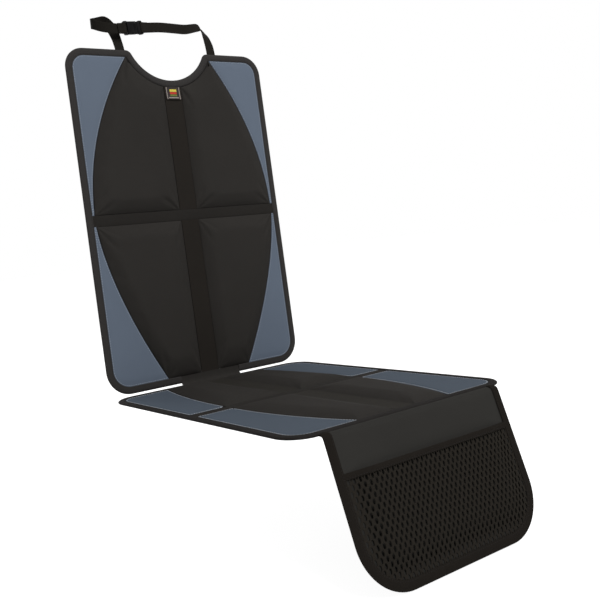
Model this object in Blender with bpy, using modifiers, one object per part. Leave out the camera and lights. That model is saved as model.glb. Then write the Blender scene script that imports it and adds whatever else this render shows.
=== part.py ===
"""Car seat protector mat: a padded back panel, a padded seat panel, a front flap with a mesh pocket
and a headrest strap with a side-release buckle, in the shape it takes on a car seat.

The origin is the centre of the seat panel's underside. X runs across the mat, Y towards the
seat back and Z up. Lengths are in metres.
"""

import math
from dataclasses import dataclass

import bpy
import bmesh
from mathutils import Matrix, Vector

# Overall sizes
MAT_WIDTH = 0.450
BACK_LENGTH = 0.666
BACK_LEAN = math.radians(3.1)
SEAT_LENGTH = 0.5585
FLAP_WIDTH = 0.364
FLAP_LENGTH = 0.221
FLAP_LEAN = math.radians(17.8)

# Clearance between neighbouring pieces
GAP = 0.0003

# Layers of a panel, from its underside up
TAPE = 0.0005
BACKING = 0.0015
LINING = 0.0009
CLOTH = 0.0007
PAD_HEIGHT = 0.0125
PAD_ROUND = 0.004

# Edge binding
BINDING_WIDTH = 0.014
TUCK = 0.006
BACK_LOW_CORNER = 0.048
BACK_HIGH_CORNER = 0.040
SEAT_CORNER = 0.045

# Neckline of the back panel
NECK_RADIUS = 0.092
NECK_DEPTH = 0.058
SHOULDER_RADIUS = 0.014

# Padded centre: half widths of its curved outline, and the flat bands that divide it
BACK_PAD_REVEAL = 0.005
BACK_PAD_LOW = 0.096
BACK_PAD_HIGH = 0.097
BACK_LOW_POWER = 1.6
BACK_HIGH_POWER = 2.05
SEAT_PAD_MIDDLE = 0.141
SEAT_PAD_REAR = 0.108
SEAT_PAD_FRONT = 0.095
SEAT_POWER = 2.2
CHANNEL_WIDTH = 0.040
BACK_BAND_WIDTH = 0.021
SEAT_BAND_WIDTH = 0.024
SEAM = 0.001
PAD_TIP = 0.012
LENS_STEPS = 10

# Tongue of cloth that joins the back panel to the seat panel
TONGUE_WIDTH = 0.137
TONGUE_THICKNESS = 0.0026
TONGUE_STEPS = 12
BACK_RISE = 0.0060
BACK_SETBACK = 0.0007

# Label under the neckline
LABEL_WIDTH = 0.034
LABEL_LENGTH = 0.025
LABEL_THICKNESS = 0.0008

# Flap and its mesh pocket
FLAP_BINDING = 0.015
FLAP_CLOTH = 0.0016
FLAP_CORNER = 0.078
FLAP_REACH = 0.0107
FLAP_DROP = 0.0053
FLAP_HOLD = 0.6
POCKET_DROP = 0.050
POCKET_BAND = 0.009
POCKET_BAND_THICKNESS = 0.0012
POCKET_NET = 0.0005
POCKET_BULGE = 0.0072
POCKET_RISE = 0.050
MESH_PITCH = 0.024
MESH_ROW = 0.0135
MESH_HOLE_WIDTH = 0.013
MESH_HOLE_HEIGHT = 0.017
MESH_MARGIN = 0.006

# Headrest strap
STRAP_WIDTH = 0.020
STRAP_THICKNESS = 0.0012
STRAP_SPREAD = 0.212
STRAP_STEPS = 3

# How far the left strap's loose curl swings sideways, back and up
CURL_SPREAD = 0.041
CURL_REACH = 0.043
CURL_RISE = 0.065

# Where the right strap turns down, from its sewn end, and how far its level run sags
BEND_INSET = 0.016
BEND_REACH = 0.018
BEND_RISE = 0.0605
RUN_SAG = 0.0035

# Webbing folded round a bar: where its stitched end, its pinch and its loop begin, from the bar's end
FOLD_TAIL = 0.0135
FOLD_PINCH = 0.006
FOLD_START = 0.001
PINCH_DEPTH = 0.002

# Side-release buckle, lying between the two strap ends
BUCKLE_PLACE = Vector((-0.0735, -0.0024, 0.0443))
BUCKLE_TURN = math.radians(6.8)
BUCKLE_RISE = math.radians(6.8)
SOCKET_LENGTH = 0.0225
SOCKET_DEPTH = 0.009
SOCKET_WALL = 0.002
BAR_WIDTH = 0.003
BAR_DEPTH = 0.005
BAR_SLOT = 0.0038
BAR_RIM = 0.0035
BUCKLE_CORNER = 0.0025
PLUG_BASE = 0.007
PLUG_THICKNESS = 0.0044
PRONG_LENGTH = 0.017
ARM_WIDTH = 0.003
GUIDE_WIDTH = 0.005
LATCH_LENGTH = 0.006
LATCH_REACH = 0.0016

CORNER_STEPS = 6
NECK_STEPS = 16

# Sizes worked out from those above
BACK_PAD_MIDDLE = MAT_WIDTH / 2 - BINDING_WIDTH - BACK_PAD_REVEAL
LINING_LOW = BACKING + GAP
CLOTH_LOW = LINING_LOW + LINING + GAP
CLOTH_HIGH = CLOTH_LOW + CLOTH
EDGE_HEIGHT = CLOTH_HIGH + GAP + TAPE
CORE_INSET = TAPE + GAP
FLAP_CLOTH_LOW = TAPE + GAP
POCKET_LOW = FLAP_CLOTH_LOW + FLAP_CLOTH + GAP
FLAP_HEIGHT = POCKET_LOW + TAPE
NECK_CENTRE = BACK_LENGTH - NECK_DEPTH + NECK_RADIUS


@dataclass(frozen=True)
class Panel:
    """A bound panel in its own frame: x across, y away from the tongue, z out of its padded face."""

    name: str
    length: float
    near_corner: float
    far_corner: float
    band: float
    pad_middle: float
    pad_near: float
    pad_far: float
    near_power: float
    far_power: float
    near_name: str
    far_name: str
    has_neck: bool
    left: int
    frame: bpy.types.Object

    @property
    def middle(self):
        return self.length / 2

    @property
    def band_low(self):
        return self.middle - self.band / 2

    @property
    def band_high(self):
        return self.middle + self.band / 2

    def side_name(self, side):
        return "left" if side == self.left else "right"

    def half_width(self, along):
        """Half the width of the padded centre at a distance from the tongue."""
        reach = self.middle - BINDING_WIDTH
        share = abs(along - self.middle) / reach
        if along < self.middle:
            return self.pad_middle - (self.pad_middle - self.pad_near) * share**self.near_power
        return self.pad_middle - (self.pad_middle - self.pad_far) * share**self.far_power

    def seam(self, low, high, offset, side):
        """Points of the curved seam between two distances, moved outwards by offset."""
        points = []
        for step in range(LENS_STEPS + 1):
            along = low + (high - low) * step / LENS_STEPS
            points.append((side * (self.half_width(along) + offset), along))
        return points

    def outline(self, inset):
        """The panel's edge, moved inwards by inset."""
        half = MAT_WIDTH / 2
        near, far = self.near_corner, self.far_corner
        points = arc((near - half, near), near - inset, 180, 270, CORNER_STEPS)
        points += arc((half - near, near), near - inset, 270, 360, CORNER_STEPS)
        points += arc((half - far, self.length - far), far - inset, 0, 90, CORNER_STEPS)
        if self.has_neck:
            points += neckline(inset)
        points += arc((far - half, self.length - far), far - inset, 90, 180, CORNER_STEPS)
        return points


def arc(centre, radius, start, stop, steps):
    """Points on an arc, with its angles in degrees."""
    points = []
    for step in range(steps + 1):
        angle = math.radians(start + (stop - start) * step / steps)
        points.append((centre[0] + radius * math.cos(angle), centre[1] + radius * math.sin(angle)))
    return points


def neckline(inset):
    """The scooped neckline with its two rounded shoulders, from right to left."""
    shoulder = max(SHOULDER_RADIUS - inset, GAP)
    level = BACK_LENGTH - inset - shoulder
    drop = NECK_CENTRE - level
    across = math.sqrt((NECK_RADIUS + inset + shoulder) ** 2 - drop**2)
    slope = math.degrees(math.atan2(drop, across))
    points = arc((across, level), shoulder, 90, 180 - slope, CORNER_STEPS)
    points += arc((0, NECK_CENTRE), NECK_RADIUS + inset, -slope, slope - 180, NECK_STEPS)[1:-1]
    points += arc((-across, level), shoulder, slope, 90, CORNER_STEPS)
    return points


def clear_scene():
    for item in list(bpy.data.objects):
        bpy.data.objects.remove(item, do_unlink=True)


def new_collection(name):
    collection = bpy.data.collections.new(name)
    bpy.context.scene.collection.children.link(collection)
    return collection


def new_material(name, colour, roughness):
    material = bpy.data.materials.new(name)
    material.use_nodes = True
    shader = material.node_tree.nodes["Principled BSDF"]
    shader.inputs["Base Color"].default_value = (*colour, 1)
    shader.inputs["Roughness"].default_value = roughness
    shader.inputs["Metallic"].default_value = 0
    return material


def new_frame(name, matrix, parent=None):
    """An empty that places the pieces parented to it."""
    frame = bpy.data.objects.new(name, None)
    parts.objects.link(frame)
    frame.parent = parent
    frame.matrix_local = matrix
    return frame


def new_piece(name, mesh, material, parent):
    piece = bpy.data.objects.new(name, mesh)
    parts.objects.link(piece)
    piece.parent = parent
    piece.data.materials.append(material)
    return piece


def new_cutter(name, mesh, parent):
    cutter = bpy.data.objects.new(name, mesh)
    cutters.objects.link(cutter)
    cutter.parent = parent
    cutter.hide_render = True
    cutter.display_type = "WIRE"
    return cutter


def slab_mesh(name, outlines, low, high, rounding=0.0):
    """A flat outline, with any holes, as a closed plate between two heights."""
    curve = bpy.data.curves.new(name, "CURVE")
    curve.dimensions = "2D"
    curve.fill_mode = "BOTH"
    curve.extrude = (high - low) / 2 - rounding
    curve.bevel_depth = rounding
    curve.bevel_resolution = 1
    curve.offset = -rounding
    for points in outlines:
        spline = curve.splines.new("POLY")
        spline.points.add(len(points) - 1)
        for point, (across, along) in zip(spline.points, points):
            point.co = (across, along, 0, 1)
        spline.use_cyclic_u = True
    source = bpy.data.objects.new(name + "_outline", curve)
    bpy.context.scene.collection.objects.link(source)
    graph = bpy.context.evaluated_depsgraph_get()
    mesh = bpy.data.meshes.new_from_object(source.evaluated_get(graph))
    bpy.data.objects.remove(source)
    shape = bmesh.new()
    shape.from_mesh(mesh)
    bmesh.ops.remove_doubles(shape, verts=shape.verts, dist=0.00001)
    bmesh.ops.translate(shape, verts=shape.verts, vec=(0, 0, (low + high) / 2))
    bmesh.ops.recalc_face_normals(shape, faces=shape.faces)
    shape.to_mesh(mesh)
    shape.free()
    return mesh


def box_mesh(name, low, high):
    """A box between two corners."""
    size = Vector(high) - Vector(low)
    middle = (Vector(high) + Vector(low)) / 2
    shape = bmesh.new()
    bmesh.ops.create_cube(shape, size=1, matrix=Matrix.Translation(middle) @ Matrix.Diagonal((*size, 1)))
    mesh = bpy.data.meshes.new(name)
    shape.to_mesh(mesh)
    shape.free()
    return mesh


def combine(piece, tools, operation="DIFFERENCE"):
    for tool in tools:
        modifier = piece.modifiers.new(tool.name, "BOOLEAN")
        modifier.operation = operation
        modifier.object = tool
    return piece


def ribbon(name, stations, width, thickness, material, parent):
    """A flat strip that follows stations of a centre and the direction of its width."""
    shape = bmesh.new()
    rows = []
    for centre, across in stations:
        reach = Vector(across).normalized() * width / 2
        rows.append((shape.verts.new(Vector(centre) - reach), shape.verts.new(Vector(centre) + reach)))
    for (low, high), (next_low, next_high) in zip(rows, rows[1:]):
        shape.faces.new((low, high, next_high, next_low))
    mesh = bpy.data.meshes.new(name)
    shape.to_mesh(mesh)
    shape.free()
    piece = new_piece(name, mesh, material, parent)
    wall = piece.modifiers.new("thickness", "SOLIDIFY")
    wall.thickness = thickness
    wall.offset = 0
    wall.use_even_offset = True
    piece.data.shade_smooth()
    piece.data.set_sharp_from_angle(angle=math.radians(40))
    return piece


def smooth_route(stations, steps):
    """A smooth curve through the stations, with steps pieces between each two."""
    centres = [Vector(centre) for centre, _ in stations]
    widths = [Vector(across).normalized() for _, across in stations]
    route = []
    last = len(stations) - 1
    for start in range(last):
        before, after = max(start - 1, 0), min(start + 2, last)
        for step in range(steps):
            share = step / steps
            centre = spline_point(centres, before, start, start + 1, after, share)
            across = widths[start].lerp(widths[start + 1], share)
            route.append((centre, across.normalized()))
    route.append((centres[-1], widths[-1]))
    return route


def spline_point(points, before, start, stop, after, share):
    """A point on the smooth curve through four points, between the middle two."""
    leave = (points[stop] - points[before]) / 2
    arrive = (points[after] - points[start]) / 2
    square, cube = share**2, share**3
    return (
        points[start] * (2 * cube - 3 * square + 1)
        + leave * (cube - 2 * square + share)
        + points[stop] * (3 * square - 2 * cube)
        + arrive * (cube - square)
    )


def tongue_cutter(panel):
    """The notch in a panel's inner edge that the tongue runs through."""
    half = TONGUE_WIDTH / 2 + GAP
    low = (-half, -BINDING_WIDTH, -EDGE_HEIGHT)
    high = (half, BINDING_WIDTH + GAP, 2 * EDGE_HEIGHT)
    return new_cutter(panel.name + "_notch", box_mesh("notch", low, high), panel.frame)


def backing(panel, notch):
    """The non-slip cloth underneath, thinner at its edge where the binding wraps it."""
    name = panel.name + "_backing"
    edge = slab_mesh(name, [panel.outline(CORE_INSET)], TAPE + GAP, BACKING)
    core = slab_mesh("core", [panel.outline(BINDING_WIDTH + GAP)], 0, (TAPE + GAP + BACKING) / 2)
    piece = new_piece(name, edge, grip_cloth, panel.frame)
    combine(piece, [new_cutter(name + "_core", core, panel.frame)], "UNION")
    return combine(piece, [notch])


def lining(panel, notch):
    """The thin foam between the backing and the face cloth."""
    name = panel.name + "_foam_lining"
    mesh = slab_mesh(name, [panel.outline(CORE_INSET)], LINING_LOW, LINING_LOW + LINING)
    return combine(new_piece(name, mesh, foam, panel.frame), [notch])


def binding(panel, notch):
    """The folded tape sewn round the panel's edge, open where the tongue crosses it."""
    name = panel.name + "_binding"
    mesh = slab_mesh(name, [panel.outline(0)], 0, EDGE_HEIGHT)
    slot = slab_mesh("slot", [panel.outline(TAPE)], TAPE, EDGE_HEIGHT - TAPE)
    window = slab_mesh("window", [panel.outline(BINDING_WIDTH)], -EDGE_HEIGHT, 2 * EDGE_HEIGHT)
    piece = new_piece(name, mesh, binding_tape, panel.frame)
    tools = [new_cutter(name + "_slot", slot, panel.frame)]
    tools.append(new_cutter(name + "_window", window, panel.frame))
    return combine(piece, [*tools, notch])


def cross_band(panel):
    """The flat band of cloth across the panel, between its near and far pads."""
    half = MAT_WIDTH / 2 - BINDING_WIDTH + TUCK
    low, high = (-half, panel.band_low, CLOTH_LOW), (half, panel.band_high, CLOTH_HIGH)
    name = panel.name + "_cross_band"
    return new_piece(name, box_mesh(name, low, high), face_cloth, panel.frame)


def channels(panel):
    """The two flat strips of cloth down the middle, on each side of the cross band."""
    half = CHANNEL_WIDTH / 2 - GAP
    far_end = (BACK_LENGTH - NECK_DEPTH if panel.has_neck else panel.length) - BINDING_WIDTH + TUCK
    spans = {
        panel.near_name: (BINDING_WIDTH + 2 * GAP, panel.band_low - GAP),
        panel.far_name: (panel.band_high + GAP, far_end),
    }
    for place, (low, high) in spans.items():
        name = f"{panel.name}_channel_{place}"
        mesh = box_mesh(name, (-half, low, CLOTH_LOW), (half, high, CLOTH_HIGH))
        new_piece(name, mesh, channel_cloth, panel.frame)


def near_pad_outline(panel, side):
    low, high = BINDING_WIDTH + SEAM, panel.band_low - GAP
    inner = side * CHANNEL_WIDTH / 2
    return [(inner, low), *panel.seam(low, high, -SEAM, side), (inner, high)]


def far_pad_outline(panel, side):
    low = panel.band_high + GAP
    inner = CHANNEL_WIDTH / 2
    if not panel.has_neck:
        high = panel.length - BINDING_WIDTH - SEAM
        return [(side * inner, low), *panel.seam(low, high, -SEAM, side), (side * inner, high)]
    high = panel.length - BINDING_WIDTH - SEAM - PAD_TIP
    radius = NECK_RADIUS + BINDING_WIDTH + SEAM
    start = -math.degrees(math.asin((NECK_CENTRE - high) / radius))
    stop = -math.degrees(math.acos(inner / radius))
    scoop = arc((0, NECK_CENTRE), radius, start, stop, LENS_STEPS)
    points = [(side * inner, low), *panel.seam(low, high, -SEAM, side)]
    return points + [(side * across, along) for across, along in scoop]


def pads(panel):
    """The four raised pads: a foam block under the face cloth in each quarter."""
    for side in (-1, 1):
        shapes = {
            panel.near_name: near_pad_outline(panel, side),
            panel.far_name: far_pad_outline(panel, side),
        }
        for place, outline in shapes.items():
            name = f"{panel.name}_pad_{place}_{panel.side_name(side)}"
            mesh = slab_mesh(name, [outline], CLOTH_LOW, CLOTH_LOW + PAD_HEIGHT, PAD_ROUND)
            piece = new_piece(name, mesh, face_cloth, panel.frame)
            piece.data.shade_smooth()
            piece.data.set_sharp_from_angle(angle=math.radians(40))


def corner_patch(panel, side, far):
    """The coloured cloth between the curved seam and the corner of the panel."""
    inset = BINDING_WIDTH - TUCK
    half = MAT_WIDTH / 2
    edge = half - inset
    if far:
        low, high, radius = panel.band_high + GAP, panel.length - inset, panel.far_corner
        corner = arc((half - radius, panel.length - radius), radius - inset, 0, 90, CORNER_STEPS)
        inner = list(reversed(panel.seam(low, high, GAP, 1)))
        points = [(edge, low), *corner, *inner]
    else:
        low, high, radius = inset, panel.band_low - GAP, panel.near_corner
        corner = arc((half - radius, radius), radius - inset, 270, 360, CORNER_STEPS)
        inner = list(reversed(panel.seam(low, high, GAP, 1)))
        points = [*corner, (edge, high), *inner]
    return [(side * across, along) for across, along in points]


def patches(panel):
    for side in (-1, 1):
        for far in (False, True):
            place = panel.far_name if far else panel.near_name
            name = f"{panel.name}_patch_{place}_{panel.side_name(side)}"
            mesh = slab_mesh(name, [corner_patch(panel, side, far)], CLOTH_LOW, CLOTH_HIGH)
            new_piece(name, mesh, patch_cloth, panel.frame)


def build_panel(panel):
    notch = tongue_cutter(panel)
    backing(panel, notch)
    lining(panel, notch)
    patches(panel)
    cross_band(panel)
    channels(panel)
    pads(panel)
    binding(panel, notch)


def leaning_frame(name, foot, lean, depth):
    """A frame whose y runs up a leaning plane, its z forward, with foot on the middle of its depth."""
    turn = Matrix.Rotation(math.pi / 2 - lean, 4, "X")
    shift = Matrix.Translation((0, 0, -depth / 2))
    return new_frame(name, Matrix.Translation(foot) @ turn @ shift)


def tongue(back_foot):
    """The bent strip of cloth that joins the two panels between their slits."""
    rise = Vector((0, math.sin(BACK_LEAN), math.cos(BACK_LEAN)))
    start = Vector((0, SEAT_LENGTH / 2 - BINDING_WIDTH, EDGE_HEIGHT / 2))
    stop = back_foot + rise * BINDING_WIDTH
    first = start + Vector((0, BINDING_WIDTH, 0))
    second = stop - rise * BINDING_WIDTH
    stations = []
    for step in range(TONGUE_STEPS + 1):
        share = step / TONGUE_STEPS
        rest = 1 - share
        centre = start * rest**3 + first * 3 * rest**2 * share
        centre += second * 3 * rest * share**2 + stop * share**3
        stations.append((centre, (1, 0, 0)))
    ribbon("joining_tongue", stations, TONGUE_WIDTH, TONGUE_THICKNESS, face_cloth, None)


def label(panel):
    """The woven label sewn under the neckline."""
    high = BACK_LENGTH - NECK_DEPTH - BINDING_WIDTH - GAP
    low_corner = (-LABEL_WIDTH / 2, high - LABEL_LENGTH, CLOTH_HIGH + GAP)
    high_corner = (LABEL_WIDTH / 2, high, CLOTH_HIGH + GAP + LABEL_THICKNESS)
    mesh = box_mesh("woven_label", low_corner, high_corner)
    new_piece("woven_label", mesh, label_cloth, panel.frame)


def flap_outline(inset, top):
    """The flap's edge: straight sides and two large lower corners."""
    half, radius = FLAP_WIDTH / 2, FLAP_CORNER
    points = [(inset - half, top)]
    points += arc((radius - half, radius), radius - inset, 180, 270, CORNER_STEPS)
    points += arc((half - radius, radius), radius - inset, 270, 360, CORNER_STEPS)
    points.append((half - inset, top))
    return points


def flap_cloth(frame, top):
    """The flap's cloth, which bends out from the seat panel's front edge and hangs down."""
    middle = FLAP_CLOTH_LOW + FLAP_CLOTH / 2
    fall = Vector((0, -math.sin(FLAP_LEAN), -math.cos(FLAP_LEAN)))
    face = Vector((0, -math.cos(FLAP_LEAN), math.sin(FLAP_LEAN)))
    knee = top + face * (middle - FLAP_HEIGHT / 2)
    start = Vector((0, -SEAT_LENGTH / 2 - GAP, EDGE_HEIGHT / 2))
    first = start + Vector((0, -FLAP_REACH * FLAP_HOLD, 0))
    second = knee - fall * FLAP_DROP
    stations = []
    for step in range(TONGUE_STEPS):
        share = step / TONGUE_STEPS
        rest = 1 - share
        centre = start * rest**3 + first * 3 * rest**2 * share
        centre += second * 3 * rest * share**2 + knee * share**3
        stations.append((centre, (1, 0, 0)))
    stations.append((knee, (1, 0, 0)))
    stations.append((knee + fall * FLAP_LENGTH, (1, 0, 0)))
    width = FLAP_WIDTH - 2 * CORE_INSET
    piece = ribbon("flap_cloth", stations, width, FLAP_CLOTH, face_cloth, None)
    above = FLAP_LENGTH + FLAP_REACH + FLAP_DROP + FLAP_CLOTH
    limit = slab_mesh("flap_limit", [flap_outline(CORE_INSET, above)], -above, above)
    combine(piece, [new_cutter("flap_limit", limit, frame)], "INTERSECT")


def flap_binding(frame):
    above = FLAP_LENGTH + FLAP_BINDING
    mesh = slab_mesh("flap_binding", [flap_outline(0, FLAP_LENGTH)], 0, FLAP_HEIGHT)
    slot = slab_mesh("flap_slot", [flap_outline(TAPE, above)], TAPE, FLAP_HEIGHT - TAPE)
    window = slab_mesh("flap_window", [flap_outline(FLAP_BINDING, above)], -FLAP_HEIGHT, 2 * FLAP_HEIGHT)
    piece = new_piece("flap_binding", mesh, binding_tape, frame)
    tools = [new_cutter("flap_binding_slot", slot, frame)]
    tools.append(new_cutter("flap_binding_window", window, frame))
    combine(piece, tools)


def ease(share):
    share = min(max(share, 0), 1)
    return share * share * (3 - 2 * share)


def pocket_bulge(across, along):
    """How far the slack pocket stands off the flap."""
    half = FLAP_WIDTH / 2 - FLAP_BINDING
    side = (half - abs(across)) / POCKET_RISE
    foot = (along - FLAP_BINDING) / POCKET_RISE
    return POCKET_BULGE * ease(side) * ease(foot)


def inside_pocket(across, along, top):
    """Whether a hole centred here leaves a margin all round."""
    margin = FLAP_BINDING + MESH_MARGIN + MESH_HOLE_WIDTH / 2
    tall = MESH_HOLE_HEIGHT / 2 + MESH_MARGIN
    if abs(across) > FLAP_WIDTH / 2 - margin or along > top - tall or along < FLAP_BINDING + tall:
        return False
    corner_x = FLAP_WIDTH / 2 - FLAP_CORNER
    if abs(across) > corner_x and along < FLAP_CORNER:
        reach = math.hypot(abs(across) - corner_x, along - FLAP_CORNER)
        return reach < FLAP_CORNER - margin - MESH_MARGIN
    return True


def mesh_holes(top):
    """Staggered rows of upright diamond holes."""
    holes = []
    rows = int(FLAP_LENGTH / MESH_ROW)
    columns = int(FLAP_WIDTH / MESH_PITCH) + 1
    for row in range(rows):
        along = top - MESH_MARGIN - MESH_HOLE_HEIGHT / 2 - row * MESH_ROW
        for column in range(-columns, columns + 1):
            across = (column + 0.5 * (row % 2)) * MESH_PITCH
            if inside_pocket(across, along, top):
                holes.append(diamond(across, along))
    return holes


def diamond(across, along):
    """The four corners of an upright hole."""
    wide, tall = MESH_HOLE_WIDTH / 2, MESH_HOLE_HEIGHT / 2
    return [(across - wide, along), (across, along - tall), (across + wide, along), (across, along + tall)]


def mesh_pocket(frame):
    """The net of the pocket, sewn into the binding on three sides and into the band on top."""
    top = FLAP_LENGTH - POCKET_DROP - POCKET_BAND - GAP
    edge = flap_outline(FLAP_BINDING + GAP, top)
    steps = 2 * LENS_STEPS
    (right, _), (left, _) = edge[-1], edge[0]
    mouth = [(right + (left - right) * step / steps, top) for step in range(1, steps)]
    mesh = slab_mesh("mesh_pocket", [edge + mouth, *mesh_holes(top)], POCKET_LOW, POCKET_LOW + POCKET_NET)
    for vertex in mesh.vertices:
        vertex.co.z += pocket_bulge(vertex.co.x, vertex.co.y)
    new_piece("mesh_pocket", mesh, mesh_cloth, frame)


def pocket_band(frame):
    """The folded tape along the mouth of the pocket."""
    along = FLAP_LENGTH - POCKET_DROP - POCKET_BAND / 2
    half = FLAP_WIDTH / 2 - FLAP_BINDING - GAP
    steps = 2 * LENS_STEPS
    stations = []
    for step in range(steps + 1):
        across = half * (2 * step / steps - 1)
        height = POCKET_LOW + POCKET_BAND_THICKNESS / 2 + pocket_bulge(across, along)
        stations.append(((across, along, height), (0, 1, 0)))
    ribbon("pocket_band", stations, POCKET_BAND, POCKET_BAND_THICKNESS, binding_tape, frame)


def build_flap():
    top = Vector((0, -SEAT_LENGTH / 2 - FLAP_REACH, EDGE_HEIGHT / 2 - FLAP_DROP))
    fall = Vector((0, -math.sin(FLAP_LEAN), -math.cos(FLAP_LEAN)))
    frame = leaning_frame("flap_frame", top + fall * FLAP_LENGTH, FLAP_LEAN, FLAP_HEIGHT)
    flap_cloth(frame, top)
    flap_binding(frame)
    mesh_pocket(frame)
    pocket_band(frame)


def rounded_box(half_length, half_height, centre):
    """The outline of a buckle part, with rounded corners."""
    points = []
    for sign_x, sign_y, start in ((1, 1, 0), (-1, 1, 90), (-1, -1, 180), (1, -1, 270)):
        corner = (
            centre + sign_x * (half_length - BUCKLE_CORNER),
            sign_y * (half_height - BUCKLE_CORNER),
        )
        points += arc(corner, BUCKLE_CORNER, start, start + 90, 3)
    return points


def rectangle(low, high, half):
    return [(low, -half), (high, -half), (high, half), (low, half)]


SOCKET_HALF = STRAP_WIDTH / 2 + SOCKET_WALL
FRAME_HALF = STRAP_WIDTH / 2 + BAR_RIM
FRAME_LENGTH = BAR_WIDTH + BAR_SLOT + 2 * GAP
BUCKLE_HALF = (SOCKET_LENGTH + GAP + PLUG_BASE + 2 * FRAME_LENGTH) / 2
SOCKET_START = FRAME_LENGTH - BUCKLE_HALF
SOCKET_END = SOCKET_START + SOCKET_LENGTH


def bar_frame(name, frame, end, inwards, material):
    """The frame with the bar that the webbing wraps, from one end of the buckle inwards."""
    start, stop = sorted((end, end + inwards * (FRAME_LENGTH + BUCKLE_CORNER)))
    low, high = sorted((end + inwards * BAR_WIDTH, end + inwards * (BAR_WIDTH + BAR_SLOT)))
    outline = rounded_box((stop - start) / 2, FRAME_HALF, (start + stop) / 2)
    slot = rectangle(low, high, STRAP_WIDTH / 2 + 2 * GAP)
    mesh = slab_mesh(name, [outline, slot], -BAR_DEPTH / 2, BAR_DEPTH / 2)
    return new_piece(name, mesh, material, frame)


def buckle_socket(frame):
    """The hollow half of the buckle, with a window in each side for the latches."""
    piece = bar_frame("buckle_socket", frame, -BUCKLE_HALF, 1, buckle_plastic)
    centre = (SOCKET_START + SOCKET_END) / 2
    body = slab_mesh(
        "socket_body",
        [rounded_box(SOCKET_LENGTH / 2, SOCKET_HALF + GAP, centre)],
        -SOCKET_DEPTH / 2,
        SOCKET_DEPTH / 2,
        SOCKET_WALL / 2,
    )
    half = STRAP_WIDTH / 2
    clear = PLUG_THICKNESS / 2 + GAP
    cavity = box_mesh(
        "socket_cavity",
        (SOCKET_START + SOCKET_WALL, -half, -clear),
        (SOCKET_END + SOCKET_WALL, half, clear),
    )
    latch = SOCKET_END - PRONG_LENGTH + LATCH_LENGTH
    window = box_mesh(
        "socket_windows",
        (latch - LATCH_LENGTH - GAP, -FRAME_HALF - GAP, -clear),
        (latch + GAP, FRAME_HALF + GAP, clear),
    )
    combine(piece, [new_cutter("socket_body", body, frame)], "UNION")
    tools = [new_cutter("socket_cavity", cavity, frame), new_cutter("socket_windows", window, frame)]
    combine(piece, tools)


def buckle_plug(frame):
    """The plug half of the buckle, with a guide and two latching arms inside the socket."""
    piece = bar_frame("buckle_plug", frame, BUCKLE_HALF, -1, buckle_plastic)
    start = SOCKET_END + GAP
    tip = SOCKET_END - PRONG_LENGTH
    latch = tip + LATCH_LENGTH
    outer = STRAP_WIDTH / 2 - GAP
    inner = outer - ARM_WIDTH
    guide = GUIDE_WIDTH / 2
    upper = [
        (start + PLUG_BASE / 2, outer),
        (latch, outer),
        (latch, outer + LATCH_REACH),
        (tip, outer - LATCH_REACH / 2),
        (tip, inner),
        (start, inner),
        (start, guide),
        (tip, guide),
    ]
    outline = upper + [(across, -along) for across, along in reversed(upper)]
    thick = PLUG_THICKNESS / 2
    prongs = slab_mesh("plug_prongs", [outline], -thick, thick)
    centre = start + PLUG_BASE / 2
    base = slab_mesh(
        "plug_base",
        [rounded_box(PLUG_BASE / 2, SOCKET_HALF, centre)],
        -SOCKET_DEPTH / 2,
        SOCKET_DEPTH / 2,
        SOCKET_WALL / 2,
    )
    tools = [new_cutter("plug_prongs", prongs, frame), new_cutter("plug_base", base, frame)]
    combine(piece, tools, "UNION")


def bar_wrap(place, end):
    """Stations of the webbing from its stitched end, round a bar and out again, seen at one end."""
    outwards = 1 if end > 0 else -1
    bar = BAR_DEPTH / 2 + STRAP_THICKNESS
    turn = BAR_WIDTH + BAR_SLOT / 2
    profile = [
        (FOLD_TAIL, STRAP_THICKNESS),
        (FOLD_PINCH, PINCH_DEPTH),
        (FOLD_START, bar),
        (-BAR_WIDTH, bar),
        (-turn, bar / 2),
        (-turn - GAP, 0),
        (-turn, -bar / 2),
        (-BAR_WIDTH, -bar),
        (FOLD_START, -bar),
        (FOLD_PINCH, -PINCH_DEPTH),
        (FOLD_TAIL, -STRAP_THICKNESS),
    ]
    upright = (place @ Vector((0, 1, 0))) - (place @ Vector((0, 0, 0)))
    stations = []
    for out, depth in profile:
        stations.append((place @ Vector((end + outwards * out, 0, depth)), upright))
    return stations


def strap_left(frame, place):
    """From the back panel's top edge, round one loose curl and along to the socket's bar."""
    side = -STRAP_SPREAD / 2
    shares = [
        ((0.024, 0.140, 0.308), (1, -0.1, 0)),
        ((0.049, 0.349, 0.585), (0.9, -0.35, 0.2)),
        ((0.098, 0.605, 0.831), (0.6, -0.5, 0.6)),
        ((0.244, 0.860, 1.000), (0.1, -0.25, 0.95)),
        ((0.610, 1.000, 0.969), (0, 0, 1)),
        ((0.951, 0.814, 0.892), (0, 0, 1)),
        ((1.000, 0.512, 0.815), (0, 0, 1)),
        ((0.780, 0.209, 0.708), (0, 0, 1)),
        ((0.463, 0.000, 0.646), (0, 0, 1)),
    ]
    curl = [((side, 0, GAP), (1, 0, 0))]
    for (spread, reach, rise), across in shares:
        centre = (side - CURL_SPREAD * spread, CURL_REACH * reach, CURL_RISE * rise)
        curl.append((centre, across))
    wrap = list(reversed(bar_wrap(place, -BUCKLE_HALF)))
    route = smooth_route(curl + wrap, STRAP_STEPS)
    ribbon("strap_left", route, STRAP_WIDTH, STRAP_THICKNESS, webbing, frame)


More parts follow.
